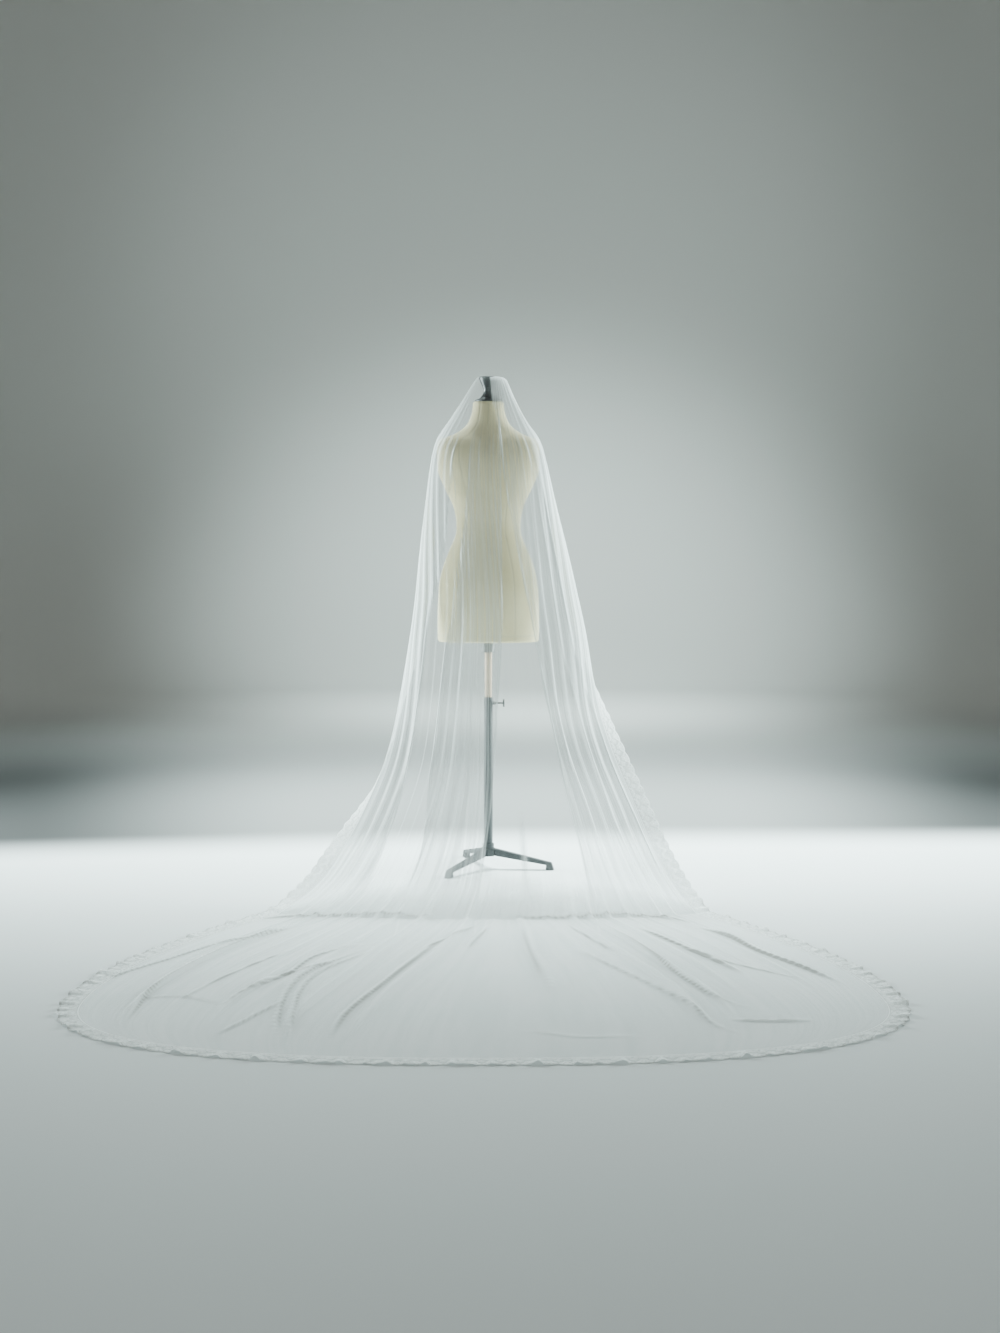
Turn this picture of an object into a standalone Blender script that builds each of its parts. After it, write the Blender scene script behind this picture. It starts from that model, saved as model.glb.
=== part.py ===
"""A long veil of fine net with a lace edging, over a limbless dress form on a three-legged stand.

The form faces +Y. The veil hangs from the knob on its neck, over both shoulders and down its back,
and its train lies on the floor towards -Y. All sizes are in metres, and +Z is up. The tables below
give places from the form's pole, and FORM_Y sets the pole where the whole piece is centred.
"""

import math

import bpy
import numpy as np


def table(columns, rows):
    """A short table as a dictionary: each named column is an array."""
    return dict(zip(columns.split(), np.array(rows, float).T))


# Where the pole stands, and how far neighbours stay apart
FORM_Y = 0.980
GAP = 0.0003
TINY = 1e-12
SMOOTH_ANGLE = math.radians(40)
NET_SMOOTH_ANGLE = math.radians(60)

# The cloth
NET_WALL = 0.0015
LACE_WALL = 0.0020
LACE_WIDTH = 0.055
SCALLOP_LENGTH = 0.066
SCALLOP_DEPTH = 0.005
LACE_STEP = 0.022
LACE_CURL = math.radians(25)
LACE_TOP = 1.36
RIPPLE_LENGTH = 0.170
RIPPLE_HEIGHT = 0.0035
RIPPLE_AT_MIDDLE = 0.75

# The knob on the neck, which carries the crown of the veil
KNOB_TOP = 1.694
KNOB_PROFILE = table(
    "radius height",
    [
        (0.0470, 1.6070),
        (0.0470, 1.6120),
        (0.0290, 1.6210),
        (0.0170, 1.6420),
        (0.0220, 1.6600),
        (0.0320, 1.6880),
        (0.0300, KNOB_TOP),
    ],
)
CROWN_Z = KNOB_TOP + GAP
CROWN_LEFT = 0.038
CROWN_RIGHT = 0.064
CROWN_BACK = 0.041
CROWN_FRONT = 0.030
CROWN_EDGE_LEFT = 0.028
CROWN_EDGE_RIGHT = 0.050
CROWN_DROP = 0.011
CROWN_DROP_POWER = 6
CROWN_WRAP = 1.1
TENT_SAG_LEFT = 0.004
TENT_SAG_RIGHT = 0.018

# The fall: how far the cloth reaches to each side, with its lace, and how far behind the pole lie
# its side edges and its middle, at heights above the floor
FALL = table(
    "height left right side back",
    [
        (0.000, 0.689, 0.693, -0.700, -0.775),
        (0.042, 0.612, 0.652, -0.600, -0.665),
        (0.151, 0.516, 0.586, -0.455, -0.525),
        (0.291, 0.441, 0.526, -0.330, -0.420),
        (0.577, 0.336, 0.404, -0.175, -0.300),
        (0.861, 0.259, 0.325, -0.075, -0.215),
        (1.081, 0.236, 0.275, -0.030, -0.170),
        (1.287, 0.212, 0.224, 0.000, -0.138),
        (1.400, 0.198, 0.200, 0.020, -0.124),
        (1.476, 0.186, 0.184, 0.030, -0.118),
    ],
)
SHOULDER_Z = 1.476
BLADE_Z = 1.425
BLADE_SPREAD = 0.5
SQUARE_SHOULDERS = 4.0
ROUND_WAIST = 2.0
SQUARE_TOP = 1.45
ROUND_BELOW = 0.90
BOW_TOP = 0.90
BOW_BELOW = 0.35

# The train: the outline's half width where it starts and where it is widest, with the lace
TRAIN_START_WIDTH = 0.700
TRAIN_START_Y = -0.710
TRAIN_WIDTH = 1.055
TRAIN_WIDEST_Y = -1.650
TRAIN_END_DEPTH = 0.526
TRAIN_SQUARENESS = 2.5
TRAIN_CORNER = math.radians(30)

# The folds: where each crest lies, as a share of the way from the left edge to the right one, at the
# waist, on the floor line and at the train's end, its depth in the fall, and the height of its
# ridge on the train and the share of the train where that ridge has died away
FOLDS = table(
    "waist floor end depth ridge fade",
    [
        (0.030, 0.025, 0.020, 0.005, 0.000, 0.50),
        (0.080, 0.060, 0.040, 0.008, 0.003, 0.60),
        (0.130, 0.095, 0.060, 0.009, 0.009, 1.00),
        (0.180, 0.130, 0.085, 0.011, 0.003, 0.50),
        (0.225, 0.160, 0.115, 0.016, 0.004, 0.60),
        (0.270, 0.200, 0.145, 0.010, 0.003, 0.50),
        (0.310, 0.240, 0.170, 0.010, 0.006, 0.95),
        (0.346, 0.285, 0.200, 0.016, 0.005, 0.80),
        (0.385, 0.350, 0.260, 0.010, 0.010, 1.05),
        (0.425, 0.410, 0.290, 0.008, 0.003, 0.50),
        (0.471, 0.456, 0.330, 0.012, 0.008, 1.00),
        (0.521, 0.515, 0.450, 0.012, 0.003, 0.50),
        (0.547, 0.575, 0.590, 0.008, 0.006, 0.70),
        (0.574, 0.640, 0.700, 0.009, 0.003, 0.50),
        (0.600, 0.700, 0.770, 0.016, 0.009, 0.95),
        (0.640, 0.740, 0.810, 0.010, 0.009, 0.85),
        (0.680, 0.785, 0.850, 0.011, 0.006, 0.70),
        (0.716, 0.830, 0.880, 0.016, 0.004, 0.60),
        (0.770, 0.870, 0.905, 0.011, 0.003, 0.60),
        (0.830, 0.910, 0.930, 0.009, 0.005, 0.80),
        (0.890, 0.945, 0.955, 0.008, 0.003, 0.60),
        (0.950, 0.975, 0.980, 0.005, 0.000, 0.50),
    ],
)
FADE_FROM = 0.55
FALL_FOLD_WIDTH = 0.50
TRAIN_FOLD_WIDTH = 0.26
CROWN_FULLNESS = 0.06
SHOULDER_FULLNESS = 0.50
FULL_FROM = 0.70
RIDGE_FROM = 0.16

# Rows of the net, from its gathered edge over the knob to the end of the train
CAP_ROWS = 3
TENT_ROWS = 3
FALL_ROWS = 11
TRAIN_ROWS = 7
FALL_CROWDING = 1.6
TRAIN_CROWDING = 1.25
SAMPLES = 241

# The dress form, in level sections from its hem to its neck
FORM = table(
    "height half_width back front",
    [
        (0.783, 0.174, 0.113, 0.104),
        (0.817, 0.175, 0.117, 0.107),
        (0.924, 0.173, 0.121, 0.107),
        (0.993, 0.167, 0.117, 0.101),
        (1.041, 0.155, 0.107, 0.098),
        (1.107, 0.130, 0.090, 0.092),
        (1.148, 0.113, 0.083, 0.087),
        (1.180, 0.110, 0.081, 0.085),
        (1.214, 0.113, 0.083, 0.087),
        (1.250, 0.122, 0.087, 0.094),
        (1.300, 0.146, 0.094, 0.108),
        (1.350, 0.168, 0.101, 0.118),
        (1.390, 0.184, 0.105, 0.113),
        (1.430, 0.190, 0.104, 0.100),
        (1.458, 0.186, 0.097, 0.088),
        (1.477, 0.166, 0.087, 0.078),
        (1.494, 0.122, 0.074, 0.068),
        (1.520, 0.082, 0.061, 0.058),
        (1.553, 0.062, 0.054, 0.053),
        (1.590, 0.054, 0.051, 0.051),
        (1.607 - GAP, 0.053, 0.050, 0.050),
    ],
)
FORM_SIDES = 28
FORM_SQUARENESS = 2.3
ARMHOLE_X = 0.1745
BUST_HEIGHT = 1.335
BUST_SPREAD = 0.080
BUST_RISE = 0.026
BUST_SIZE = 0.062
PLATE_THICKNESS = 0.0030
PLATE_HALF_DEPTH = 0.038
PLATE_HALF_HEIGHT = 0.030
PLATE_Z = 1.418
PLATE_SIDES = 20

# The stand
COLLAR_TOP = 0.783 - GAP
COLLAR_BOTTOM = 0.745
COLLAR_RADIUS = 0.024
POLE_RADIUS = 0.0125
TUBE_RADIUS = 0.0150
TUBE_TOP = 0.590
SCREW_Z = 0.569
SCREW_PROFILE = table(
    "radius reach",
    [
        (0.0065, 0.0000),
        (0.0065, 0.0080),
        (0.0030, 0.0090),
        (0.0030, 0.0340),
        (0.0135, 0.0350),
        (0.0135, 0.0405),
    ],
)
SCREW_SIDES = 16
HUB_TOP = 0.0695
HUB_BOTTOM = 0.0430
HUB_APOTHEM = 0.0220
HUB_SIDES = 6
HUB_RING_RADIUS = 0.0195
HUB_RING_TOP = 0.0860
HUB_TURN = math.radians(-8)
LEG_COUNT = 3
LEG_WIDTH = 0.0200
LEG_OUTLINE = table(
    "reach height",
    [
        (0.0223, 0.0440),
        (0.2010, 0.0170),
        (0.1990, 0.0000),
        (0.2280, 0.0000),
        (0.2190, 0.0250),
        (0.0223, 0.0690),
    ],
)
ROUND_SIDES = 24


def mix(first, second, share):
    """The point that lies this share of the way from the first value to the second."""
    return first + (second - first) * share


def ease(share):
    """A share from 0 to 1 that starts and ends gently: 3 s^2 - 2 s^3."""
    share = np.clip(share, 0.0, 1.0)
    return share * share * (3.0 - 2.0 * share)


def curve(at, places, values):
    """A smooth curve through a table: cubic pieces whose slopes are the finite differences."""
    slopes = np.gradient(values, places)
    piece = np.clip(np.searchsorted(places, at) - 1, 0, len(places) - 2)
    width = places[piece + 1] - places[piece]
    share = np.clip((at - places[piece]) / width, 0.0, 1.0)
    start = (1.0 + 2.0 * share) * (1.0 - share) ** 2 * values[piece]
    end = share**2 * (3.0 - 2.0 * share) * values[piece + 1]
    start_slope = share * (1.0 - share) ** 2 * width * slopes[piece]
    end_slope = share**2 * (share - 1.0) * width * slopes[piece + 1]
    return start + end + start_slope + end_slope


def unit(vectors):
    """The same directions, each one unit long."""
    return vectors / np.maximum(np.linalg.norm(vectors, axis=-1, keepdims=True), TINY)


def material(name, colour, roughness, metallic=0.0):
    made = bpy.data.materials.new(name)
    made.use_nodes = True
    shader = made.node_tree.nodes["Principled BSDF"]
    shader.inputs["Base Color"].default_value = (*colour, 1.0)
    shader.inputs["Roughness"].default_value = roughness
    shader.inputs["Metallic"].default_value = metallic
    made.diffuse_color = (*colour, 1.0)
    return made


def add_object(name, points, faces, finish, smooth_angle=SMOOTH_ANGLE):
    """One named object with its own mesh, standing at the pole's place."""
    mesh = bpy.data.meshes.new(name)
    mesh.from_pydata([tuple(point) for point in points], [], faces)
    mesh.update()
    mesh.shade_smooth()
    mesh.set_sharp_from_angle(angle=smooth_angle)
    mesh.materials.append(finish)
    made = bpy.data.objects.new(name, mesh)
    made.location = (0.0, FORM_Y, 0.0)
    bpy.context.collection.objects.link(made)
    return made


def loft(name, rings, finish):
    """Rings with equal numbers of points, joined in order and capped at both ends."""
    sides = len(rings[0])
    faces = [tuple(reversed(range(sides)))]
    for ring in range(len(rings) - 1):
        low = ring * sides
        for side in range(sides):
            after = (side + 1) % sides
            faces.append((low + side, low + after, low + sides + after, low + sides + side))
    last = (len(rings) - 1) * sides
    faces.append(tuple(range(last, last + sides)))
    return add_object(name, np.concatenate(rings), faces, finish)


def circle(radius, height, sides=ROUND_SIDES):
    turn = np.arange(sides) * 2.0 * math.pi / sides
    return np.stack([radius * np.cos(turn), radius * np.sin(turn), np.full(sides, height)], axis=1)


def form_section(height, half_width, back, front):
    """A level ring of the torso: a squared ellipse, flat at the armholes, with the bust in front."""
    turn = np.arange(FORM_SIDES) * 2.0 * math.pi / FORM_SIDES
    power = 2.0 / FORM_SQUARENESS
    across = half_width * np.sign(np.cos(turn)) * np.abs(np.cos(turn)) ** power
    deep = np.sign(np.sin(turn)) * np.abs(np.sin(turn)) ** power
    deep = np.where(deep > 0, front * deep, back * deep)
    for side in (-1, 1):
        away = ((across - side * BUST_SPREAD) ** 2 + (height - BUST_HEIGHT) ** 2) / BUST_SIZE**2
        deep = deep + np.where(deep > 0, BUST_RISE * np.exp(-away) * deep / front, 0.0)
    across = np.clip(across, -ARMHOLE_X, ARMHOLE_X)
    return np.stack([across, deep, np.full(FORM_SIDES, height)], axis=1)


def build_form(linen, plate_finish):
    rings = [form_section(*row) for row in zip(*FORM.values())]
    loft("form_body", rings, linen)
    turn = np.arange(PLATE_SIDES) * 2.0 * math.pi / PLATE_SIDES
    for name, side in (("armhole_plate_left", -1), ("armhole_plate_right", 1)):
        inner = ARMHOLE_X + GAP
        rings = []
        for reach in (inner, inner + PLATE_THICKNESS):
            across = np.full(PLATE_SIDES, side * reach)
            deep = PLATE_HALF_DEPTH * np.cos(turn)
            high = PLATE_Z + PLATE_HALF_HEIGHT * np.sin(turn)
            rings.append(np.stack([across, deep, high], axis=1))
        # The rings go round +X, so the left plate is joined from its outer ring inwards
        loft(name, rings[::side], plate_finish)


def build_knob(finish):
    rings = [circle(radius, height) for radius, height in zip(*KNOB_PROFILE.values())]
    loft("finial", rings, finish)


def build_stand(steel, wood, painted):
    loft("form_collar", [circle(COLLAR_RADIUS, z) for z in (COLLAR_BOTTOM, COLLAR_TOP)], steel)
    pole_ends = (HUB_TOP + GAP, COLLAR_BOTTOM - GAP)
    loft("wood_pole", [circle(POLE_RADIUS, z) for z in pole_ends], wood)
    # The pole slides in the tube, and the hub's ring holds the tube's foot
    bottom = HUB_TOP + GAP
    build_sleeve("metal_tube", POLE_RADIUS + GAP, TUBE_RADIUS, bottom, TUBE_TOP, painted)
    build_sleeve("hub_ring", TUBE_RADIUS + GAP, HUB_RING_RADIUS, bottom, HUB_RING_TOP, painted)
    build_screw(steel)
    half_side = math.pi / HUB_SIDES
    hub_turn = HUB_TURN + half_side + np.arange(HUB_SIDES) * 2.0 * half_side
    corner = HUB_APOTHEM / math.cos(half_side)
    rings = []
    for height in (HUB_BOTTOM, HUB_TOP):
        heights = np.full(HUB_SIDES, height)
        rings.append(np.stack([corner * np.cos(hub_turn), corner * np.sin(hub_turn), heights], axis=1))
    loft("tripod_hub", rings, painted)
    for leg in range(LEG_COUNT):
        build_leg(leg, painted)


def build_sleeve(name, bore, radius, bottom, top, finish):
    """A round sleeve, open right through: a rectangle of wall turned about the pole."""
    profile = ((bore, bottom), (radius, bottom), (radius, top), (bore, top))
    points = np.concatenate([circle(reach, height) for reach, height in profile])
    faces = []
    for ring in range(len(profile)):
        after_ring = (ring + 1) % len(profile)
        for side in range(ROUND_SIDES):
            after = (side + 1) % ROUND_SIDES
            low = ring * ROUND_SIDES
            high = after_ring * ROUND_SIDES
            faces.append((low + side, low + after, high + after, high + side))
    add_object(name, points, faces, finish)


def build_screw(finish):
    """The clamp screw: a boss, a shank and a round head, turned about a line along +X."""
    rings = []
    for radius, reach in zip(*SCREW_PROFILE.values()):
        ring = circle(radius, TUBE_RADIUS + GAP + reach, SCREW_SIDES)
        rings.append(np.stack([ring[:, 2], ring[:, 0], SCREW_Z + ring[:, 1]], axis=1))
    loft("clamp_screw", rings, finish)


def build_leg(number, finish):
    """A flat cast leg with its foot turned down, drawn in side view and given its width."""
    turn = HUB_TURN - number * 2.0 * math.pi / LEG_COUNT
    reach = LEG_OUTLINE["reach"]
    sides = []
    for across in (-LEG_WIDTH / 2, LEG_WIDTH / 2):
        x = reach * math.cos(turn) + across * math.sin(turn)
        y = reach * math.sin(turn) - across * math.cos(turn)
        sides.append(np.stack([x, y, LEG_OUTLINE["height"]], axis=1))
    loft(f"leg_{number + 1}", sides, finish)


def fall_surface(side, height):
    """A point of the fall, for side from -1 to 1 and a height.

    High up a row is a squared half ellipse round the shoulders: its width goes with the sine of the
    angle and its depth with the cosine, each to the power 2 / squareness. Near the floor it has opened to
    a shallow bow, whose width goes with side and whose depth with 1 - side^2.
    """
    left = curve(height, FALL["height"], FALL["left"])
    right = curve(height, FALL["height"], FALL["right"])
    edge = curve(height, FALL["height"], FALL["side"])
    back = curve(height, FALL["height"], FALL["back"])
    square = ease((height - ROUND_BELOW) / (SQUARE_TOP - ROUND_BELOW))
    power = 2.0 / mix(ROUND_WAIST, SQUARE_SHOULDERS, square)
    bow = ease((BOW_TOP - height) / (BOW_TOP - BOW_BELOW))
    angle = side * math.pi / 2
    sine = np.sin(angle)
    round_x = np.sign(sine) * np.abs(sine) ** power
    round_y = np.abs(np.cos(angle)) ** power
    middle = (right - left) / 2
    half = (right + left) / 2 - LACE_WIDTH * bow
    x = middle + half * mix(round_x, side, bow)
    y = mix(edge, back, mix(round_y, 1.0 - side**2, bow))
    return np.stack([x, y, height + 0.0 * side], axis=-1)


def fall_top(side):
    """The height where the cloth leaves the shoulders: lower on the blades than at the sides."""
    return mix(SHOULDER_Z, BLADE_Z, np.cos(side * math.pi / 2) ** BLADE_SPREAD)


def crown_ring(side):
    """The cloth's turn over the knob's rim: a half oval that reaches further on the right.

    Its width goes with the sine of the angle and its depth with the cosine, and past the knob's rim,
    on the right, it droops with a high power of the sine.
    """
    angle = side * math.pi / 2 * CROWN_WRAP
    reach = np.where(side < 0, CROWN_LEFT, CROWN_RIGHT)
    x = reach * np.sin(angle)
    y = -CROWN_BACK * np.cos(angle)
    z = CROWN_Z - CROWN_DROP * np.maximum(0.0, np.sin(angle)) ** CROWN_DROP_POWER
    return np.stack([x, y, z], axis=-1)


def crown_edge(side):
    """The gathered top edge, a short line in front of the knob."""
    x = mix(-CROWN_EDGE_LEFT, CROWN_EDGE_RIGHT, (side + 1.0) / 2)
    return np.stack([x, CROWN_FRONT + 0.0 * side, CROWN_Z + 0.0 * side], axis=-1)


def train_side(share, inset):
    """One side of the train in plan, as half width and Y: a quarter sine that runs on into the end.

    The end is a squared half ellipse, and its part up to TRAIN_CORNER belongs to the side.
    """
    width = TRAIN_WIDTH - inset
    depth = TRAIN_END_DEPTH - inset
    run = np.linspace(0.0, 1.0, SAMPLES)
    sine_x = mix(TRAIN_START_WIDTH - inset, width, np.sin(run * math.pi / 2))
    sine_y = mix(TRAIN_START_Y, TRAIN_WIDEST_Y, run)
    turn = np.linspace(0.0, TRAIN_CORNER, SAMPLES)[1:]
    end_x = width * np.cos(turn) ** (2.0 / TRAIN_SQUARENESS)
    end_y = TRAIN_WIDEST_Y - depth * np.sin(turn) ** (2.0 / TRAIN_SQUARENESS)
    line = np.stack([np.append(sine_x, end_x), np.append(sine_y, end_y)], axis=-1)
    return along(line, share)


def train_end(share, inset):
    """The train's end in plan, from its left corner to its right one."""
    turn = np.linspace(TRAIN_CORNER, math.pi - TRAIN_CORNER, SAMPLES)
    power = 2.0 / TRAIN_SQUARENESS
    cosine = np.cos(turn)
    x = -(TRAIN_WIDTH - inset) * np.sign(cosine) * np.abs(cosine) ** power
    y = TRAIN_WIDEST_Y - (TRAIN_END_DEPTH - inset) * np.sin(turn) ** power
    return along(np.stack([x, y], axis=-1), share)


def along(line, share):
    """Points of a line at shares of its length."""
    steps = np.linalg.norm(np.diff(line, axis=0), axis=1)
    length = np.concatenate([[0.0], np.cumsum(steps)])
    columns = [np.interp(share * length[-1], length, line[:, k]) for k in range(line.shape[1])]
    return np.stack(columns, axis=-1)


def column_shares(place, narrow):
    """Where a row's columns lie, from 0 to 1: a valley, a flank, a crest and a flank for each fold."""
    crest = place
    valley = np.concatenate([[0.0], (crest[1:] + crest[:-1]) / 2, [1.0]])
    before = mix(crest, valley[:-1], narrow)
    after = mix(crest, valley[1:], narrow)
    folds = np.stack([valley[:-1], before, crest, after], axis=1)
    return np.append(folds.reshape(-1), 1.0)


def lift_row(crest, valley):
    """How far each column of a row stands off the plain surface, with both edges left on it."""
    valleys = np.concatenate([[0.0], (valley[1:] + valley[:-1]) / 2])
    flank = (crest + valley) / 2 * (valley < 0)
    return np.append(np.stack([valleys, flank, crest, flank], axis=1).reshape(-1), 0.0)


def net_rows():
    """The plain surface of the net and how far its folds stand off it, row by row."""
    dense = np.linspace(-1.0, 1.0, SAMPLES)
    rows, lifts = [], []
    waist_columns = column_shares(FOLDS["waist"], FALL_FOLD_WIDTH)
    floor_columns = column_shares(FOLDS["floor"], FALL_FOLD_WIDTH)
    floor_narrow = column_shares(FOLDS["floor"], TRAIN_FOLD_WIDTH)
    end_columns = column_shares(FOLDS["end"], TRAIN_FOLD_WIDTH)
    half_depth = FOLDS["depth"] / 2

    ring = along(crown_ring(dense), waist_columns)
    edge = along(crown_edge(dense), waist_columns)
    for row in range(CAP_ROWS):
        rows.append(mix(edge, ring, row / CAP_ROWS))
        lifts.append(lift_row(CROWN_FULLNESS * half_depth, 0.0 * half_depth))

    shoulders = along(fall_surface(dense, fall_top(dense)), waist_columns)
    for row in range(TENT_ROWS):
        share = row / TENT_ROWS
        tent = mix(ring, shoulders, share)
        sideways = np.linspace(-1.0, 1.0, len(tent))
        sag = np.where(sideways < 0, TENT_SAG_LEFT, TENT_SAG_RIGHT) * sideways**2
        tent[:, 0] -= np.sign(sideways) * sag * math.sin(math.pi * share)
        rows.append(tent)
        fullness = mix(CROWN_FULLNESS, SHOULDER_FULLNESS, share)
        lifts.append(lift_row(fullness * half_depth, -fullness * share * half_depth))

    for row in range(FALL_ROWS):
        level = (1.0 - row / FALL_ROWS) ** FALL_CROWDING
        columns = mix(floor_columns, waist_columns, ease(level / FULL_FROM))
        columns = mix(columns, floor_narrow, ease((RIDGE_FROM - level) / RIDGE_FROM))
        rows.append(along(fall_surface(dense, level * fall_top(dense)), columns))
        fullness = mix(SHOULDER_FULLNESS, 1.0, ease((1.0 - level) / (1.0 - FULL_FROM)))
        resting = ease((RIDGE_FROM - level) / RIDGE_FROM)
        crest = mix(fullness * half_depth, FOLDS["ridge"], resting)
        lifts.append(lift_row(crest, -fullness * half_depth * (1.0 - resting)))

    for row in range(TRAIN_ROWS + 1):
        share = (row / TRAIN_ROWS) ** TRAIN_CROWDING
        columns = mix(floor_narrow, end_columns, share)
        rows.append(train_row(share, columns))
        dying = 1.0 - ease((share / FOLDS["fade"] - FADE_FROM) / (1.0 - FADE_FROM))
        lifts.append(lift_row(FOLDS["ridge"] * dying, 0.0 * half_depth))
    lifts[-1] = 0.0 * lifts[-1]
    return np.array(rows), np.array(lifts)


def train_row(share, columns):
    """A row of the train: the four-sided patch between the floor line, both sides and the end.

    It is the row between the floor line and the end plus the row between the two sides, less the
    row between the four corners.
    """
    dense = np.linspace(-1.0, 1.0, SAMPLES)
    start = along(fall_surface(dense, 0.0 * dense)[:, :2], columns)
    end = train_end(columns, LACE_WIDTH)
    right = train_side(np.array([0.0, share, 1.0]), LACE_WIDTH)
    floor_line = fall_surface(np.array([-1.0, 1.0]), np.zeros(2))[:, :2]
    # The side starts where the floor line ends, and the small difference dies away along it
    right_side = right[1] + (floor_line[1] - right[0]) * (1.0 - share)
    left_side = right[1] * (-1, 1) + (floor_line[0] - right[0] * (-1, 1)) * (1.0 - share)
    across = columns[:, None]
    lengthways = mix(start, end, share)
    sideways = mix(left_side, right_side, across)
    corners = mix(mix(floor_line[0], end[0], share), mix(floor_line[1], end[-1], share), across)
    plan = lengthways + sideways - corners
    return np.concatenate([plan, np.zeros((len(plan), 1))], axis=1)


def surface_normals(grid):
    """Unit normals of a grid of points, away from the form and up from the floor."""
    down = np.gradient(grid, axis=0)
    across = np.gradient(grid, axis=1)
    return unit(np.cross(down, across))


def wall_faces(rows, columns):
    """Triangles of a closed wall whose outer grid of points comes first and inner grid second."""
    def outer(row, column):
        return row * columns + column

    def inner(row, column):
        return rows * columns + row * columns + column

    faces = []
    for row in range(rows - 1):
        for column in range(columns - 1):
            corners = ((row, column), (row, column + 1), (row + 1, column + 1), (row + 1, column))
            # The cut runs towards each lower corner of the grid, where its outline turns
            turned = column < columns // 2
            split = ((0, 1, 3), (1, 2, 3)) if turned else ((0, 1, 2), (0, 2, 3))
            if row == rows - 2 and column in (0, columns - 2):
                split = ((0, 1, 2), (0, 2, 3)) if turned else ((0, 1, 3), (1, 2, 3))
            for three in split:
                chosen = [corners[k] for k in three]
                faces.append(tuple(outer(*corner) for corner in reversed(chosen)))
                faces.append(tuple(inner(*corner) for corner in chosen))
    around = [(0, column) for column in range(columns - 1)]
    around += [(row, columns - 1) for row in range(rows - 1)]
    around += [(rows - 1, column) for column in range(columns - 1, 0, -1)]
    around += [(row, 0) for row in range(rows - 1, 0, -1)]
    for here, there in zip(around, around[1:] + around[:1]):
        faces.append((outer(*here), outer(*there), inner(*there), inner(*here)))
    return faces


def build_net(finish):
    """The veil's one panel: the folds stand off the plain surface, and the wall stands on that."""
    plain, lifts = net_rows()
    inner = plain + lifts[..., None] * surface_normals(plain)
    normals = surface_normals(inner)
    on_floor = plain[..., 2] < GAP
    normals[on_floor] = (0.0, 0.0, 1.0)
    outer = inner + NET_WALL * normals
    points = np.concatenate([outer.reshape(-1, 3), inner.reshape(-1, 3)])
    faces = wall_faces(*plain.shape[:2])
    add_object("veil_net", points, faces, finish, NET_SMOOTH_ANGLE)
    return inner, normals


def lace_stations(inner, normals):
    """The net's edge from the left side round the train to the right side, in even steps.

    Each station holds a point of the edge, the way out from it in the cloth, and its normal.
    """
    start = CAP_ROWS + TENT_ROWS + int(np.argmax(inner[CAP_ROWS + TENT_ROWS:, 0, 2] < LACE_TOP))
    left = (inner[start:, 0], normals[start:, 0])
    end = (inner[-1, 1:-1], normals[-1, 1:-1])
    right = (inner[start:, -1][::-1], normals[start:, -1][::-1])
    points = np.concatenate([left[0], end[0], right[0]])
    ups = np.concatenate([left[1], end[1], right[1]])
    outward = unit(np.cross(np.gradient(points, axis=0), ups))
    height = points[:, 2:]
    curl = LACE_CURL * ease((height - BOW_BELOW) / (BOW_TOP - BOW_BELOW))
    outward = unit(outward * np.cos(curl) - ups * np.sin(curl))
    ups = unit(ups - outward * np.sum(ups * outward, axis=1, keepdims=True))
    stations = []
    for k in range(len(points) - 1):
        steps = max(1, round(float(np.linalg.norm(points[k + 1] - points[k])) / LACE_STEP))
        for step in range(steps):
            share = step / steps
            stations.append([mix(part[k], part[k + 1], share) for part in (points, outward, ups)])
    stations.append([points[-1], outward[-1], ups[-1]])
    return np.swapaxes(np.array(stations), 0, 1)


def build_lace(inner, normals, finish):
    """The edging: a band beside the net's edge, scalloped outside and rippled where it lies."""
    edge, outward, up = lace_stations(inner, normals)
    steps = np.linalg.norm(np.diff(edge, axis=0), axis=1)
    length = np.concatenate([[0.0], np.cumsum(steps)])[:, None]
    scallop = SCALLOP_DEPTH * np.cos(2.0 * math.pi * length / SCALLOP_LENGTH)
    ripple = RIPPLE_HEIGHT * np.maximum(0.0, np.sin(2.0 * math.pi * length / RIPPLE_LENGTH))
    reach = LACE_WIDTH + scallop - SCALLOP_DEPTH
    near = edge + GAP * outward
    middle = edge + reach / 2 * outward + RIPPLE_AT_MIDDLE * ripple * up
    far = edge + reach * outward + ripple * up
    under = np.stack([near, middle, far], axis=1)
    over = (under + LACE_WALL * up[:, None])[:, ::-1]
    rings = np.concatenate([under, over], axis=1)
    rings[..., 2] = np.maximum(rings[..., 2], 0.0)
    loft("lace_edging", list(rings[:, ::-1]), finish)


def main():
    for old in list(bpy.data.objects):
        bpy.data.objects.remove(old, do_unlink=True)
    net = material("white_net", (0.80, 0.84, 0.83), 0.60)
    lace = material("white_lace", (0.86, 0.87, 0.86), 0.65)
    linen = material("cream_linen", (0.72, 0.69, 0.58), 0.85)
    plate = material("brown_plate", (0.33, 0.27, 0.20), 0.60)
    knob = material("black_gloss", (0.02, 0.02, 0.025), 0.25)
    wood = material("pale_wood", (0.62, 0.54, 0.44), 0.50)
    painted = material("grey_paint", (0.16, 0.17, 0.17), 0.45)
    steel = material("grey_steel", (0.42, 0.43, 0.43), 0.35, 1.0)
    build_form(linen, plate)
    build_knob(knob)
    build_stand(steel, wood, painted)
    inner, normals = build_net(net)
    build_lace(inner, normals, lace)


main()
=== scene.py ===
# %% [markdown]
# # A long net veil on a dress form
# The real thing is one wide panel of fine net, gathered over the knob of a dress form, with a band of
# floral lace sewn round its free edge. The frame brings in plain solids of every piece, at their real
# size. This lesson gives each of them its finished surface, one piece at a time, in the same places.

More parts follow.
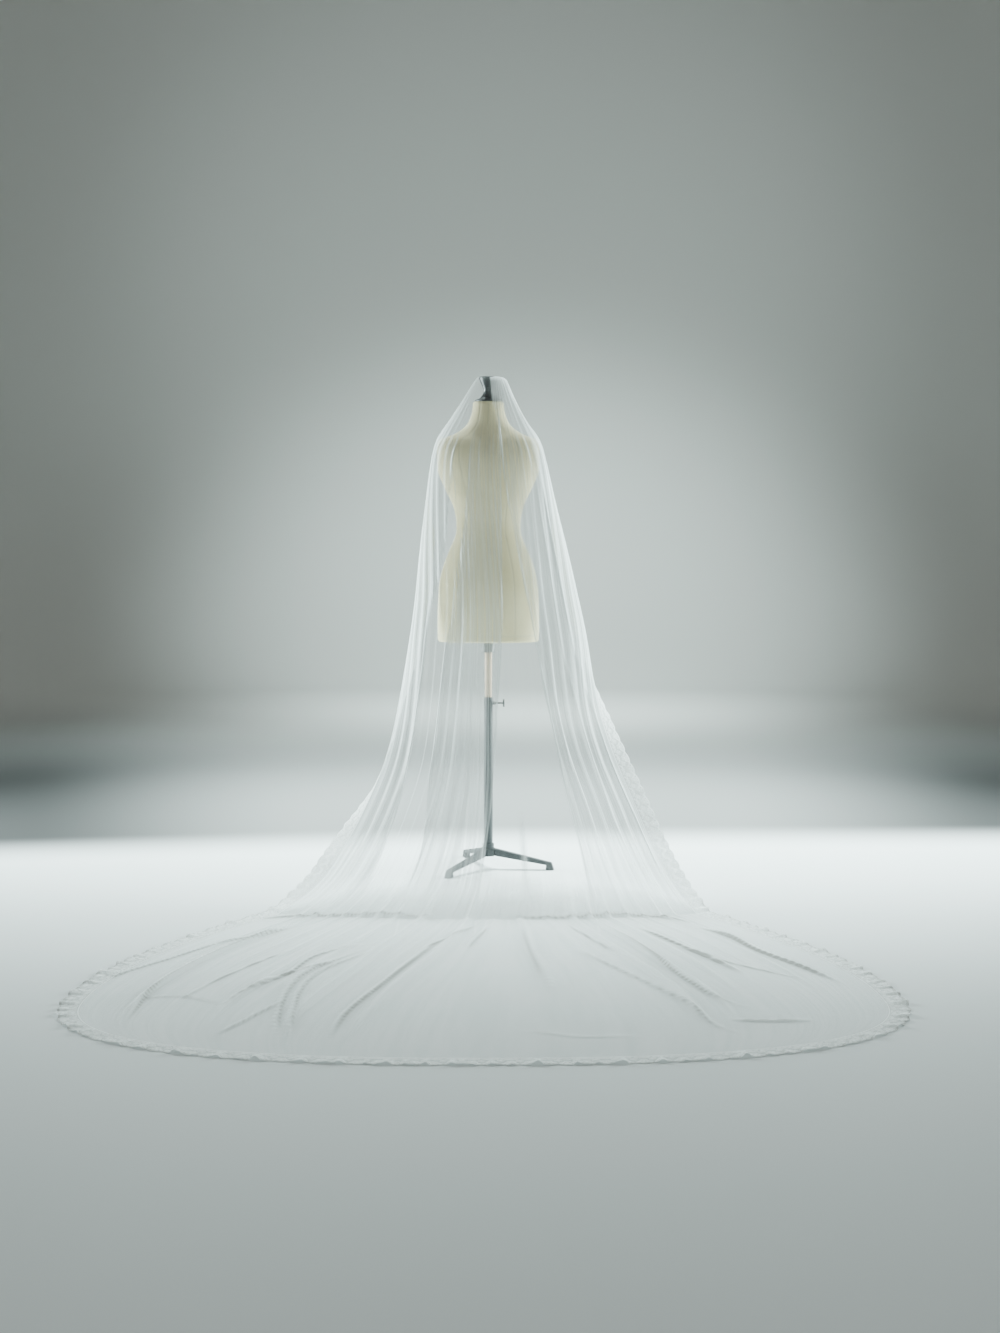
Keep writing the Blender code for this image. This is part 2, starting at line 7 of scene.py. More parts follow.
# %% Load the frame
import math
import bmesh
import bpy
import numpy as np
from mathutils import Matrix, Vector


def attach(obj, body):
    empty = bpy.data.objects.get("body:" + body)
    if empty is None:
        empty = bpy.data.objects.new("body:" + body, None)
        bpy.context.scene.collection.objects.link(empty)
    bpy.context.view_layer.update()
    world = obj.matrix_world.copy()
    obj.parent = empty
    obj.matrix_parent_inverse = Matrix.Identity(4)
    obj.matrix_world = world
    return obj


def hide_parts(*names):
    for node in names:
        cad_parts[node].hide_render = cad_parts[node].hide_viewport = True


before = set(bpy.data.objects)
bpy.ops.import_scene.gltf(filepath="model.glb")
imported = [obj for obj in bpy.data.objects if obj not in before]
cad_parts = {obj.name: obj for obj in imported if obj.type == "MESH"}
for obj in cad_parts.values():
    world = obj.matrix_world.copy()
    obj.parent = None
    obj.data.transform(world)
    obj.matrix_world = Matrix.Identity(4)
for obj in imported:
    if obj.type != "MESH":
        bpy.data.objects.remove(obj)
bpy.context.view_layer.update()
print("solids:", sorted(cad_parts))

# %% [markdown]
# Every shape below is a surface worked out as whole arrays: a grid of points, with a formula for where
# each one lies. A few small tools come first. They blend values, draw smooth curves through short
# tables, walk along a line, and turn a finished grid into a mesh.

# %% Small tools for curves and tables
FORM_Y = 0.980
SHARP_ANGLE = math.radians(50)


def table(columns, numbers):
    """Rows of numbers as a dictionary, with an array for each named column."""
    names = columns.split()
    return dict(zip(names, np.array(numbers.split(), float).reshape(-1, len(names)).T))


def mix(first, second, share):
    """The value that lies this share of the way from the first to the second."""
    return first + (second - first) * share


def ease(share):
    """A share from 0 to 1 that starts and ends gently: 3 s^2 - 2 s^3."""
    share = np.clip(share, 0.0, 1.0)
    return share * share * (3.0 - 2.0 * share)


def curve(at, places, values):
    """A smooth curve through a table: cubic pieces whose slopes are the finite differences."""
    slopes = np.gradient(values, places)
    piece = np.clip(np.searchsorted(places, at) - 1, 0, len(places) - 2)
    width = places[piece + 1] - places[piece]
    share = np.clip((at - places[piece]) / width, 0.0, 1.0)
    start = (1.0 + 2.0 * share) * (1.0 - share) ** 2 * values[piece]
    end = share**2 * (3.0 - 2.0 * share) * values[piece + 1]
    start_slope = share * (1.0 - share) ** 2 * width * slopes[piece]
    end_slope = share**2 * (share - 1.0) * width * slopes[piece + 1]
    return start + end + start_slope + end_slope


def columns_at(known, at):
    """Every column of a table but the height, read at these heights by a smooth curve."""
    return [curve(at, known["height"], column) for name, column in known.items() if name != "height"]


def unit(vectors):
    """The same directions, each one unit long."""
    return vectors / np.maximum(np.linalg.norm(vectors, axis=-1, keepdims=True), 1e-12)


def run_length(line):
    """How far along a line of points each point lies, in metres."""
    steps = np.linalg.norm(np.diff(line, axis=0), axis=1)
    return np.concatenate([[0.0], np.cumsum(steps)])


def along(line, share):
    """Points of a line at shares of its length."""
    length = run_length(line)
    return np.stack([np.interp(share * length[-1], length, axis) for axis in line.T], axis=-1)


def smoothed(values, passes):
    """Each value of a column averaged with its neighbours, 1 2 1, this many times."""
    values = values.copy()
    for _ in range(passes):
        values[1:-1] = (values[:-2] + 2.0 * values[1:-1] + values[2:]) / 4.0
    return values


# %% Small tools for meshes
def grid_faces(rows, columns):
    """Quads of a grid: each joins two neighbours of a row to the two below them."""
    corner = np.arange(rows - 1)[:, None] * columns + np.arange(columns - 1)
    return np.stack([corner, corner + columns, corner + columns + 1, corner + 1], -1).reshape(-1, 4)


def add_piece(name, points, faces, finish, uv=None, values=None):
    """One piece at the origin, with its place in its mesh, its map in metres and its own values."""
    mesh = bpy.data.meshes.new(name)
    mesh.from_pydata(points.reshape(-1, 3).tolist(), [], faces.tolist())
    mesh.materials.append(finish)
    if uv is not None:
        layer = mesh.uv_layers.new(name="cloth")
        layer.data.foreach_set("uv", uv.reshape(-1, 2)[faces.ravel()].astype(np.float32).ravel())
    for label, column in (values or {}).items():
        held = mesh.attributes.new(label, "FLOAT", "POINT")
        held.data.foreach_set("value", column.ravel().astype(np.float32))
    mesh.shade_smooth()
    made = bpy.data.objects.new(name, mesh)
    bpy.context.scene.collection.objects.link(made)
    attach(made, "root")
    print(f"{name}: {len(mesh.vertices)} points, {len(faces)} faces")
    return made


def close_seams(piece):
    """Welds points that share a place, drops faces without area, and turns every face outwards."""
    work = bmesh.new()
    work.from_mesh(piece.data)
    bmesh.ops.remove_doubles(work, verts=work.verts, dist=1e-6)
    bmesh.ops.dissolve_degenerate(work, edges=work.edges, dist=1e-7)
    bmesh.ops.recalc_face_normals(work, faces=work.faces)
    work.to_mesh(piece.data)
    work.free()
    piece.data.shade_smooth()
    piece.data.set_sharp_from_angle(angle=SHARP_ANGLE)


# %% [markdown]
# ## The picture
# The veil is seen from behind, from a little below shoulder height and six metres away, with the
# camera level. A level camera that looks at a low subject would cut off the train, so the lens is
# shifted down, as on a view camera. The lens follows from the picture's height in pixels.

# %% Camera
PICTURE_HEIGHT = 1333.0
FOCAL_PIXELS = 1740.0
HORIZON_PIXEL = 520.0
camera_data = bpy.data.cameras.new("view_camera")
camera_data.sensor_width = 36.0
camera_data.lens = camera_data.sensor_width * FOCAL_PIXELS / PICTURE_HEIGHT
camera_data.shift_y = (HORIZON_PIXEL - PICTURE_HEIGHT / 2) / PICTURE_HEIGHT
camera = bpy.data.objects.new("view_camera", camera_data)
camera.location = (0.040, -5.020, 1.200)
camera.rotation_euler = (math.radians(90), 0.0, 0.0)
bpy.context.scene.collection.objects.link(camera)
bpy.context.scene.camera = camera
print("lens:", round(camera_data.lens, 2), "mm, shift:", round(camera_data.shift_y, 4))

# %% [markdown]
# ## Finishes
# A material here is a Principled shader fed by a few small groups of nodes. A group is built once and
# holds one effect, such as a weave, and each material that uses it gives it its own sizes. A wire, as
# defined below, is a value in a tree of nodes. Sums of wires are written as sums, and each sign adds a
# Math node, which keeps the groups short enough to read.

# %% Wiring helpers
class Wire:
    """A value in a node tree, known by the socket that it leaves from."""

    def __init__(self, socket):
        self.socket, self.tree = socket, socket.id_data

    def of(self, kind, *others):
        """The result of one Math node of this kind, fed by this value and the others."""
        return calc(self.tree, kind, self, *others)

    def __add__(self, other):
        return self.of("ADD", other)

    def __sub__(self, other):
        return self.of("SUBTRACT", other)

    def __rsub__(self, other):
        return calc(self.tree, "SUBTRACT", other, self)

    def __mul__(self, other):
        return self.of("MULTIPLY", other)

    def __truediv__(self, other):
        return self.of("DIVIDE", other)


def feed(value, socket):
    """Links a wire to a socket, or sets a plain number or colour there."""
    if isinstance(value, Wire):
        value.tree.links.new(value.socket, socket)
    else:
        socket.default_value = (*value, 1.0) if socket.type == "RGBA" else value


def add_node(tree, kind, result, inputs=None, **settings):
    """One node with its settings and inputs, and the wire that leaves it."""
    node = tree.nodes.new(f"ShaderNode{kind}")
    for label, value in settings.items():
        setattr(node, label, value)
    for label, value in (inputs or {}).items():
        feed(value, node.inputs[label])
    return Wire(node.outputs[result])


def calc(tree, kind, *values):
    """The result of one Math node, fed by wires or plain numbers."""
    return add_node(tree, "Math", 0, dict(enumerate(values)), operation=kind)


def most(wires):
    """The largest of several values."""
    largest = wires[0]
    for wire in wires[1:]:
        largest = largest.of("MAXIMUM", wire)
    return largest


def soft_step(value, low, high):
    """A mask that eases from 0 at low to 1 at high."""
    inputs = {"Value": value, "From Min": low, "From Max": high}
    return add_node(value.tree, "MapRange", "Result", inputs, interpolation_type="SMOOTHSTEP")


def blend(share, first, second):
    """The colour that lies this share of the way from the first to the second."""
    return add_node(share.tree, "Mix", "Result", {"Factor": share, "A": first, "B": second}, data_type="RGBA")


def noise(vector, scale=1.0, detail=2.0, roughness=0.5):
    """A Noise texture's value, from 0 to 1."""
    inputs = {"Vector": vector, "Scale": scale, "Detail": detail, "Roughness": roughness}
    return add_node(vector.tree, "TexNoise", "Fac", inputs)


def stretched(vector, scale):
    """A vector scaled by its own amount along each axis."""
    return add_node(vector.tree, "VectorMath", 0, {0: vector, 1: scale}, operation="MULTIPLY")


def split_axes(vector):
    """The X, Y and Z of a vector."""
    return [Wire(socket) for socket in add_node(vector.tree, "SeparateXYZ", 0, {0: vector}).socket.node.outputs]


def place_on_object(tree):
    return add_node(tree, "TexCoord", "Object")


def place_on_map(tree):
    return add_node(tree, "UVMap", "UV", uv_map="cloth")


def own_value(tree, label):
    return add_node(tree, "Attribute", "Fac", attribute_name=label)


# %% Helpers for groups and materials
def new_group(name, inputs, outputs):
    """An empty node group: the wires that enter it, and the sockets of the values that leave it."""
    group = bpy.data.node_groups.new(name, "ShaderNodeTree")
    for label, kind, value in inputs:
        made = group.interface.new_socket(name=label, in_out="INPUT", socket_type=f"NodeSocket{kind}")
        if value is not None:
            made.default_value = value
    for label in outputs:
        group.interface.new_socket(name=label, in_out="OUTPUT", socket_type="NodeSocketFloat")
    given = {socket.name: Wire(socket) for socket in group.nodes.new("NodeGroupInput").outputs}
    return group, given, group.nodes.new("NodeGroupOutput").inputs


def use_group(tree, group, **values):
    """One copy of a group in a material, with its own values: its results by name."""
    node = tree.nodes.new("ShaderNodeGroup")
    node.node_tree = group
    for label, value in values.items():
        feed(value, node.inputs[label])
    return {socket.name: Wire(socket) for socket in node.outputs}


def new_material(name, colour, roughness, metallic=0.0, **others):
    """A Principled material. Sockets that stay the same all over are set on the shader."""
    made = bpy.data.materials.new(name)
    made.use_nodes = True
    shader = made.node_tree.nodes["Principled BSDF"].inputs
    for label, value in {"Base_Color": colour, "Roughness": roughness, "Metallic": metallic, **others}.items():
        feed(value, shader[label.replace("_", " ")])
    made.diffuse_color = (*colour, 1.0)
    return made, made.node_tree, shader


def bumped(shader, height, strength, distance):
    """Sends a height through a Bump node to the shader's normal."""
    inputs = {"Strength": strength, "Distance": distance, "Height": height}
    feed(add_node(height.tree, "Bump", "Normal", inputs), shader["Normal"])


# %% [markdown]
# ## Net cells
# Bridal net is a honeycomb of thin threads. Three sets of waves, each turned a third of a half turn
# from the last, add up to bright spots in a honeycomb pattern, and the threads are where the sum is
# low. The group works on the cloth's own map, in metres, so the cells keep their size in every fold.

# %% Group: net cells
NET_CELL = 0.0016


def build_net_cells():
    inputs = [("Place", "Vector", None), ("Cell", "Float", NET_CELL)]
    group, given, wanted = new_group("net_cells", inputs, ["Thread"])
    across, down, _ = split_axes(given["Place"])
    waves = []
    for turn in (0.0, math.pi / 3, 2.0 * math.pi / 3):
        place = across * math.cos(turn) + down * math.sin(turn)
        waves.append((place * (2.0 * math.pi) / given["Cell"]).of("COSINE"))
    # The sum runs from -1.5 on a thread to 3 in the middle of a hole
    feed(soft_step(waves[0] + waves[1] + waves[2], 0.6, -1.0), wanted["Thread"])
    return group


net_cells = build_net_cells()
print("net cells: 1.6 mm from middle to middle")

# %% [markdown]
# ## The net's finish
# What makes net look like net is that it is denser where it turns edge-on, because a ray then meets
# more threads. With a cover of c when seen square on, the cover at an angle is 1 - (1 - c)^(g / cos),
# where cos is the Layer Weight node's facing value turned round, and g is how many layers are gathered
# there. The gathering is stored on the mesh, since pleats finer than the grid are part of the finish.

# %% Material: white net
NET_COVER = 0.075
STREAKS_ACROSS = 90.0
STREAKS_DOWN = 1.3
MEAN_STREAK = 0.45
LEAST_COSINE = 0.25


def build_net_finish():
    made, tree, shader = new_material("white_net", (0.86, 0.90, 0.89), 0.75, Sheen_Weight=0.35,
                                      Sheen_Roughness=0.45, Specular_IOR_Level=0.15)
    thread = use_group(tree, net_cells, Place=place_on_map(tree), Cell=NET_CELL)["Thread"]
    inputs = {0: own_value(tree, "flow") * STREAKS_ACROSS, 1: own_value(tree, "down") * STREAKS_DOWN}
    streak = soft_step(noise(add_node(tree, "CombineXYZ", 0, inputs), 1.0, 3.0, 0.6), 0.36, 0.64)
    cover = (thread * 0.9 + 0.62) * NET_COVER
    facing = add_node(tree, "LayerWeight", "Facing", {"Blend": 0.5})
    cosine = (1.0 - facing).of("MAXIMUM", LEAST_COSINE)
    uneven = (streak - MEAN_STREAK) * own_value(tree, "hang") + 1.0
    passed = (1.0 - cover).of("POWER", own_value(tree, "gather") * uneven / cosine)
    feed(1.0 - passed, shader["Alpha"])
    white = blend(streak, (0.88, 0.93, 0.92), (0.95, 0.98, 0.97))
    # Painted shadow: the colour darkens to grey brown beside the train's creases and where the train rises
    feed(blend(own_value(tree, "painted_fold_shadow"), white, (0.22, 0.205, 0.18)), shader["Base Color"])
    bumped(shader, thread, 0.25, 0.0003)
    return made


white_net = build_net_finish()

# %% [markdown]
# ## The plain surface of the veil
# The cloth has four stretches: a cap over the knob, a tent from the knob to the shoulders, the fall
# behind the form, and the train on the floor. Each stretch is a formula of two numbers: the share of
# the way across, and how far down it is. The tables hold the sizes that the solids were made from.

# %% Sizes of the veil
KNOB_TOP = 1.694
CROWN = dict(left=0.038, right=0.064, back=0.041, front=0.030, edge_left=0.028, edge_right=0.050)
CROWN_DROP = 0.011
CROWN_DROP_POWER = 6
CROWN_WRAP = 1.1
TENT_SAG_LEFT = 0.004
TENT_SAG_RIGHT = 0.018
FALL = table("height left right side back", """
    0.000 0.689 0.693 -0.700 -0.775
    0.042 0.612 0.652 -0.600 -0.665
    0.151 0.516 0.586 -0.455 -0.525
    0.291 0.441 0.526 -0.330 -0.420
    0.577 0.336 0.404 -0.175 -0.300
    0.861 0.259 0.325 -0.075 -0.215
    1.081 0.236 0.275 -0.030 -0.170
    1.287 0.212 0.224 0.000 -0.138
    1.400 0.198 0.200 0.020 -0.124
    1.476 0.186 0.184 0.030 -0.118
""")
SHOULDER_Z = 1.476
BLADE_Z = 1.425
BLADE_SPREAD = 0.5
SQUARE_SHOULDERS = 4.0
ROUND_WAIST = 2.0
SQUARE_TOP = 1.45
ROUND_BELOW = 0.90
BOW_TOP = 0.90
BOW_BELOW = 0.35
LACE_WIDTH = 0.055
TRAIN_START_WIDTH = 0.700
TRAIN_START_Y = -0.710
TRAIN_WIDTH = 1.055
TRAIN_WIDEST_Y = -1.650
TRAIN_END_DEPTH = 0.526
TRAIN_SQUARENESS = 2.5
TRAIN_CORNER = math.radians(30)
SAMPLES = 361
COLUMNS = 401
CAP_ROWS, TENT_ROWS, FALL_ROWS, TRAIN_ROWS = 5, 22, 62, 156
FALL_CROWDING = 1.6
TRAIN_CROWDING = 1.25
NET_REST = 0.0008


# %% Formulas of the plain surface
def fall_surface(side, height):
    """A point of the fall, for side from -1 to 1 and a height.

    High up a row is a squared half ellipse: x is the sine of the angle and y the cosine, each to the
    power 2 / squareness. Near the floor it opens to a bow: x goes with side, and y with 1 - side^2.
    """
    left, right, edge, back = columns_at(FALL, height)
    square = ease((height - ROUND_BELOW) / (SQUARE_TOP - ROUND_BELOW))
    power = 2.0 / mix(ROUND_WAIST, SQUARE_SHOULDERS, square)
    bow = ease((BOW_TOP - height) / (BOW_TOP - BOW_BELOW))
    sine = np.sin(side * math.pi / 2)
    round_x = np.sign(sine) * np.abs(sine) ** power
    round_y = np.abs(np.cos(side * math.pi / 2)) ** power
    half = (right + left) / 2 - LACE_WIDTH * bow
    x = (right - left) / 2 + half * mix(round_x, side, bow)
    y = mix(edge, back, mix(round_y, 1.0 - side**2, bow))
    return np.stack([x, y, height + 0.0 * side], axis=-1)


def fall_top(side):
    """The height where the cloth leaves the shoulders: lower on the blades than at the sides."""
    return mix(SHOULDER_Z, BLADE_Z, np.abs(np.cos(side * math.pi / 2)) ** BLADE_SPREAD)


def crown_ring(side):
    """The turn over the knob's rim: x is reach times the sine, y is depth times the cosine."""
    angle = side * math.pi / 2 * CROWN_WRAP
    x = np.where(side < 0, CROWN["left"], CROWN["right"]) * np.sin(angle)
    y = -CROWN["back"] * np.cos(angle)
    z = KNOB_TOP + NET_REST - CROWN_DROP * np.maximum(0.0, np.sin(angle)) ** CROWN_DROP_POWER
    return np.stack([x, y, z], axis=-1)


def crown_edge(side):
    """The gathered top edge: a short line in front of the knob."""
    x = mix(-CROWN["edge_left"], CROWN["edge_right"], (side + 1.0) / 2)
    return np.stack([x, CROWN["front"] + 0.0 * side, KNOB_TOP + NET_REST + 0.0 * side], axis=-1)


def train_side(share):
    """The train's right side in plan: a quarter sine that runs on into the squared half ellipse."""
    width = TRAIN_WIDTH - LACE_WIDTH
    run = np.linspace(0.0, 1.0, SAMPLES)
    sine_x = mix(TRAIN_START_WIDTH - LACE_WIDTH, width, np.sin(run * math.pi / 2))
    sine_y = mix(TRAIN_START_Y, TRAIN_WIDEST_Y, run)
    turn = np.linspace(0.0, TRAIN_CORNER, SAMPLES)[1:]
    end_x = width * np.cos(turn) ** (2.0 / TRAIN_SQUARENESS)
    end_y = TRAIN_WIDEST_Y - (TRAIN_END_DEPTH - LACE_WIDTH) * np.sin(turn) ** (2.0 / TRAIN_SQUARENESS)
    return along(np.stack([np.append(sine_x, end_x), np.append(sine_y, end_y)], axis=-1), share)


def train_end(share):
    """The train's end in plan, from its left corner to its right one: a squared half ellipse."""
    turn = np.linspace(TRAIN_CORNER, math.pi - TRAIN_CORNER, SAMPLES)
    power = 2.0 / TRAIN_SQUARENESS
    x = -(TRAIN_WIDTH - LACE_WIDTH) * np.sign(np.cos(turn)) * np.abs(np.cos(turn)) ** power
    y = TRAIN_WIDEST_Y - (TRAIN_END_DEPTH - LACE_WIDTH) * np.sin(turn) ** power
    return along(np.stack([x, y], axis=-1), share)


def train_row(share, columns):
    """A row of the train: between its start and end, plus between its sides, less its corners."""
    dense = np.linspace(-1.0, 1.0, SAMPLES)
    start = along(fall_surface(dense, 0.0 * dense)[:, :2], columns)
    end = train_end(columns)
    right = train_side(np.array([0.0, share, 1.0]))
    floor_line = fall_surface(np.array([-1.0, 1.0]), np.zeros(2))[:, :2]
    right_side = right[1] + (floor_line[1] - right[0]) * (1.0 - share)
    left_side = right[1] * (-1, 1) + (floor_line[0] - right[0] * (-1, 1)) * (1.0 - share)
    across = columns[:, None]
    corners = mix(mix(floor_line[0], end[0], share), mix(floor_line[1], end[-1], share), across)
    plan = mix(start, end, share) + mix(left_side, right_side, across) - corners
    return np.concatenate([plan, np.zeros((len(plan), 1))], axis=1)


# %% [markdown]
# ## The folds
# A fold is a wave across the cloth, and its crest keeps its own share of the width all the way down.
# The large folds come from a table. Between them lie many small pleats of uneven width, drawn from a
# seeded list. A real fold is not a plain wave: its sides are steep and it leans over, so each point
# is moved a little sideways too, which lets the net overlap itself in bundles.

# %% The large folds and the small pleats
FOLDS = table("waist floor end depth ridge fade", """
    0.030 0.025 0.020 0.005 0.000 0.50
    0.080 0.060 0.040 0.008 0.003 0.60
    0.130 0.095 0.060 0.009 0.009 1.00
    0.180 0.130 0.085 0.011 0.003 0.50
    0.225 0.160 0.115 0.016 0.004 0.60
    0.270 0.200 0.145 0.010 0.003 0.50
    0.310 0.240 0.170 0.010 0.006 0.95
    0.346 0.285 0.200 0.016 0.005 0.80
    0.385 0.350 0.260 0.010 0.010 1.05
    0.425 0.410 0.290 0.008 0.003 0.50
    0.471 0.456 0.330 0.012 0.008 1.00
    0.521 0.515 0.450 0.012 0.003 0.50
    0.547 0.575 0.590 0.008 0.006 0.70
    0.574 0.640 0.700 0.009 0.003 0.50
    0.600 0.700 0.770 0.016 0.009 0.95
    0.640 0.740 0.810 0.010 0.009 0.85
    0.680 0.785 0.850 0.011 0.006 0.70
    0.716 0.830 0.880 0.016 0.004 0.60
    0.770 0.870 0.905 0.011 0.003 0.60
    0.830 0.910 0.930 0.009 0.005 0.80
    0.890 0.945 0.955 0.008 0.003 0.60
    0.950 0.975 0.980 0.005 0.000 0.50
""")
CROWN_FULLNESS = 0.06
SHOULDER_FULLNESS = 0.50
FULL_FROM = 0.70
RIDGE_FROM = 0.16
FADE_FROM = 0.55
PLEATS = 46
# How high the small pleats stand, and how much of their full depth the large folds have, at stages
# of the way down: cap, tent, fall and train
FULLNESS = table("stage pleat fold", """
    0.0 0.0004 0.50
    1.0 0.0005 0.50
    2.0 0.0005 0.35
    2.4 0.0007 0.40
    2.8 0.0011 0.60
    3.0 0.0006 0.80
    3.2 0.0001 0.80
    4.0 0.0000 0.80
""")
OVERHANG = 0.0010
LEAN = 0.0040
SWAY = 0.004
PLAIN_EDGE = 0.03
random = np.random.default_rng(11)


def stages():
    """The stage of each row: 0 to 1 over the cap, to 2 in the tent, to 3 in the fall, to 4 behind."""
    counts = (CAP_ROWS, TENT_ROWS, FALL_ROWS, TRAIN_ROWS)
    parts = [number + np.arange(count) / count for number, count in enumerate(counts)]
    return np.concatenate([*parts, [4.0]])


def fold_phase(share, crests):
    """The angle of the fold wave: whole turns in the valleys, and half turns on the crests."""
    valleys = np.concatenate([[0.0], (crests[1:] + crests[:-1]) / 2, [1.0]])
    places = np.sort(np.concatenate([valleys, crests]))
    return np.interp(share, places, np.arange(len(places)) * math.pi)


def plain_net(stage, crests_at):
    """The net without its folds, a row for each stage: every row is walked by its share of length."""
    dense = np.linspace(-1.0, 1.0, SAMPLES)
    share = np.linspace(0.0, 1.0, COLUMNS)
    ring, edge = along(crown_ring(dense), share), along(crown_edge(dense), share)
    shoulders = along(fall_surface(dense, fall_top(dense)), share)
    rows = []
    for row, place in enumerate(stage):
        columns = np.interp(share, [0.0, *FOLDS["waist"], 1.0], [0.0, *crests_at[row], 1.0])
        if place < 1.0:
            rows.append(mix(edge, ring, place))
        elif place < 2.0:
            tent = mix(ring, shoulders, place - 1.0)
            sideways = 2.0 * share - 1.0
            sag = np.where(sideways < 0, TENT_SAG_LEFT, TENT_SAG_RIGHT) * sideways**2
            tent[:, 0] -= np.sign(sideways) * sag * math.sin(math.pi * (place - 1.0))
            rows.append(tent)
        elif place < 3.0:
            level = (3.0 - place) ** FALL_CROWDING
            rows.append(along(fall_surface(dense, level * fall_top(dense)), columns))
        else:
            rows.append(train_row((place - 3.0) ** TRAIN_CROWDING, columns))
    return np.array(rows)


def crest_places(stage):
    """Where each crest lies across each row: at its waist place, then its floor place, then its end.

    On the train each line also sways from side to side by a seeded sine.
    """
    level = np.clip(3.0 - stage, 0.0, 1.0) ** FALL_CROWDING
    hanging = ease(level / FULL_FROM)[:, None]
    places = mix(FOLDS["floor"], FOLDS["waist"], hanging)
    lying = (np.clip(stage - 3.0, 0.0, 1.0) ** TRAIN_CROWDING)[:, None]
    places = mix(places, FOLDS["end"], lying)
    count = len(FOLDS["end"])
    beat, start = random.uniform(0.8, 1.7, count), random.uniform(0.0, 6.3, count)
    sway = SWAY * np.sin(2.0 * math.pi * beat * lying + start) * np.sin(math.pi * lying)
    return places + sway


def between_folds(values, share, edge=0.0):
    """A value for each fold, read at any share across the cloth, with its value at both edges."""
    return np.interp(share, [0.0, *FOLDS["waist"], 1.0], [edge, *values, edge])


def fold_lift(stage, share):
    """How far each point stands off the plain surface, and how far it is moved sideways."""
    level = np.clip(3.0 - stage, 0.0, 1.0)[:, None] ** FALL_CROWDING
    tent = np.clip(stage - 1.0, 0.0, 1.0)[:, None]
    lying = (np.clip(stage - 3.0, 0.0, 1.0)[:, None]) ** TRAIN_CROWDING
    resting = ease((RIDGE_FROM - level) / RIDGE_FROM)
    fullness = mix(CROWN_FULLNESS, SHOULDER_FULLNESS, tent)
    fullness = mix(fullness, 1.0, ease((1.0 - level) / (1.0 - FULL_FROM)))
    phase = fold_phase(share, FOLDS["waist"])
    edge_in = ease(share / PLAIN_EDGE) * ease((1.0 - share) / PLAIN_EDGE)
    kept = np.interp(stage, FULLNESS["stage"], FULLNESS["fold"])[:, None]
    half = kept * between_folds(FOLDS["depth"] / 2, share)
    ridge = between_folds(FOLDS["ridge"], share)
    fade = between_folds(FOLDS["fade"], share, 0.5)
    dying = 1.0 - ease((lying / fade - FADE_FROM) / (1.0 - FADE_FROM))
    wave = ((1.0 - np.cos(phase)) / 2) ** mix(1.0, 4.0, resting)
    crest = mix(fullness * half, ridge * dying, resting)
    valley = -fullness * np.minimum(tent, 1.0) * half * (1.0 - resting)
    lift = mix(valley, crest, wave)
    # The small pleats: uneven widths, each with its own height that comes and goes on the way down
    widths = random.uniform(0.5, 1.6, PLEATS)
    ends = np.concatenate([[0.0], np.cumsum(widths)]) / widths.sum()
    number = np.interp(share, ends, np.arange(PLEATS + 1))
    own = random.uniform(0.25, 1.0, PLEATS + 1)
    beat, start = random.uniform(0.3, 1.1, PLEATS + 1), random.uniform(0.0, 6.3, PLEATS + 1)
    index = np.arange(PLEATS + 1)
    change = np.sin(stage[:, None] * np.interp(number, index, beat) * 2.0 + np.interp(number, index, start))
    height = np.interp(stage, FULLNESS["stage"], FULLNESS["pleat"])[:, None]
    pleat = height * np.interp(number, index, own) * (0.65 + 0.35 * change) * edge_in
    lift = lift + pleat * (1.0 - np.cos(2.0 * math.pi * number)) / 2
    hang = (1.0 - resting) * fullness * edge_in
    aside = OVERHANG * hang * np.sin(2.0 * phase) * half / 0.006
    leaning = between_folds(random.uniform(-1.0, 1.0, len(FOLDS["end"])), share)
    aside = aside + LEAN * hang * leaning * (wave - 0.5)
    aside = aside + 0.35 * pleat * np.sin(4.0 * math.pi * number)
    return lift, aside


# %% [markdown]
# Some folds in the photograph are one of a kind: the kinked fold on the left shoulder blade, and the
# long creases of the train. Each is a listed line, with a soft ridge along it.

# %% Creases listed one by one
def crease_table(rows):
    """Creases as rows of numbers: the height, the width, then the points of the line."""
    numbers = [np.array(row.split(), float) for row in rows.strip().splitlines()]
    return [(row[0], row[1], row[2:].reshape(-1, 2)) for row in numbers]


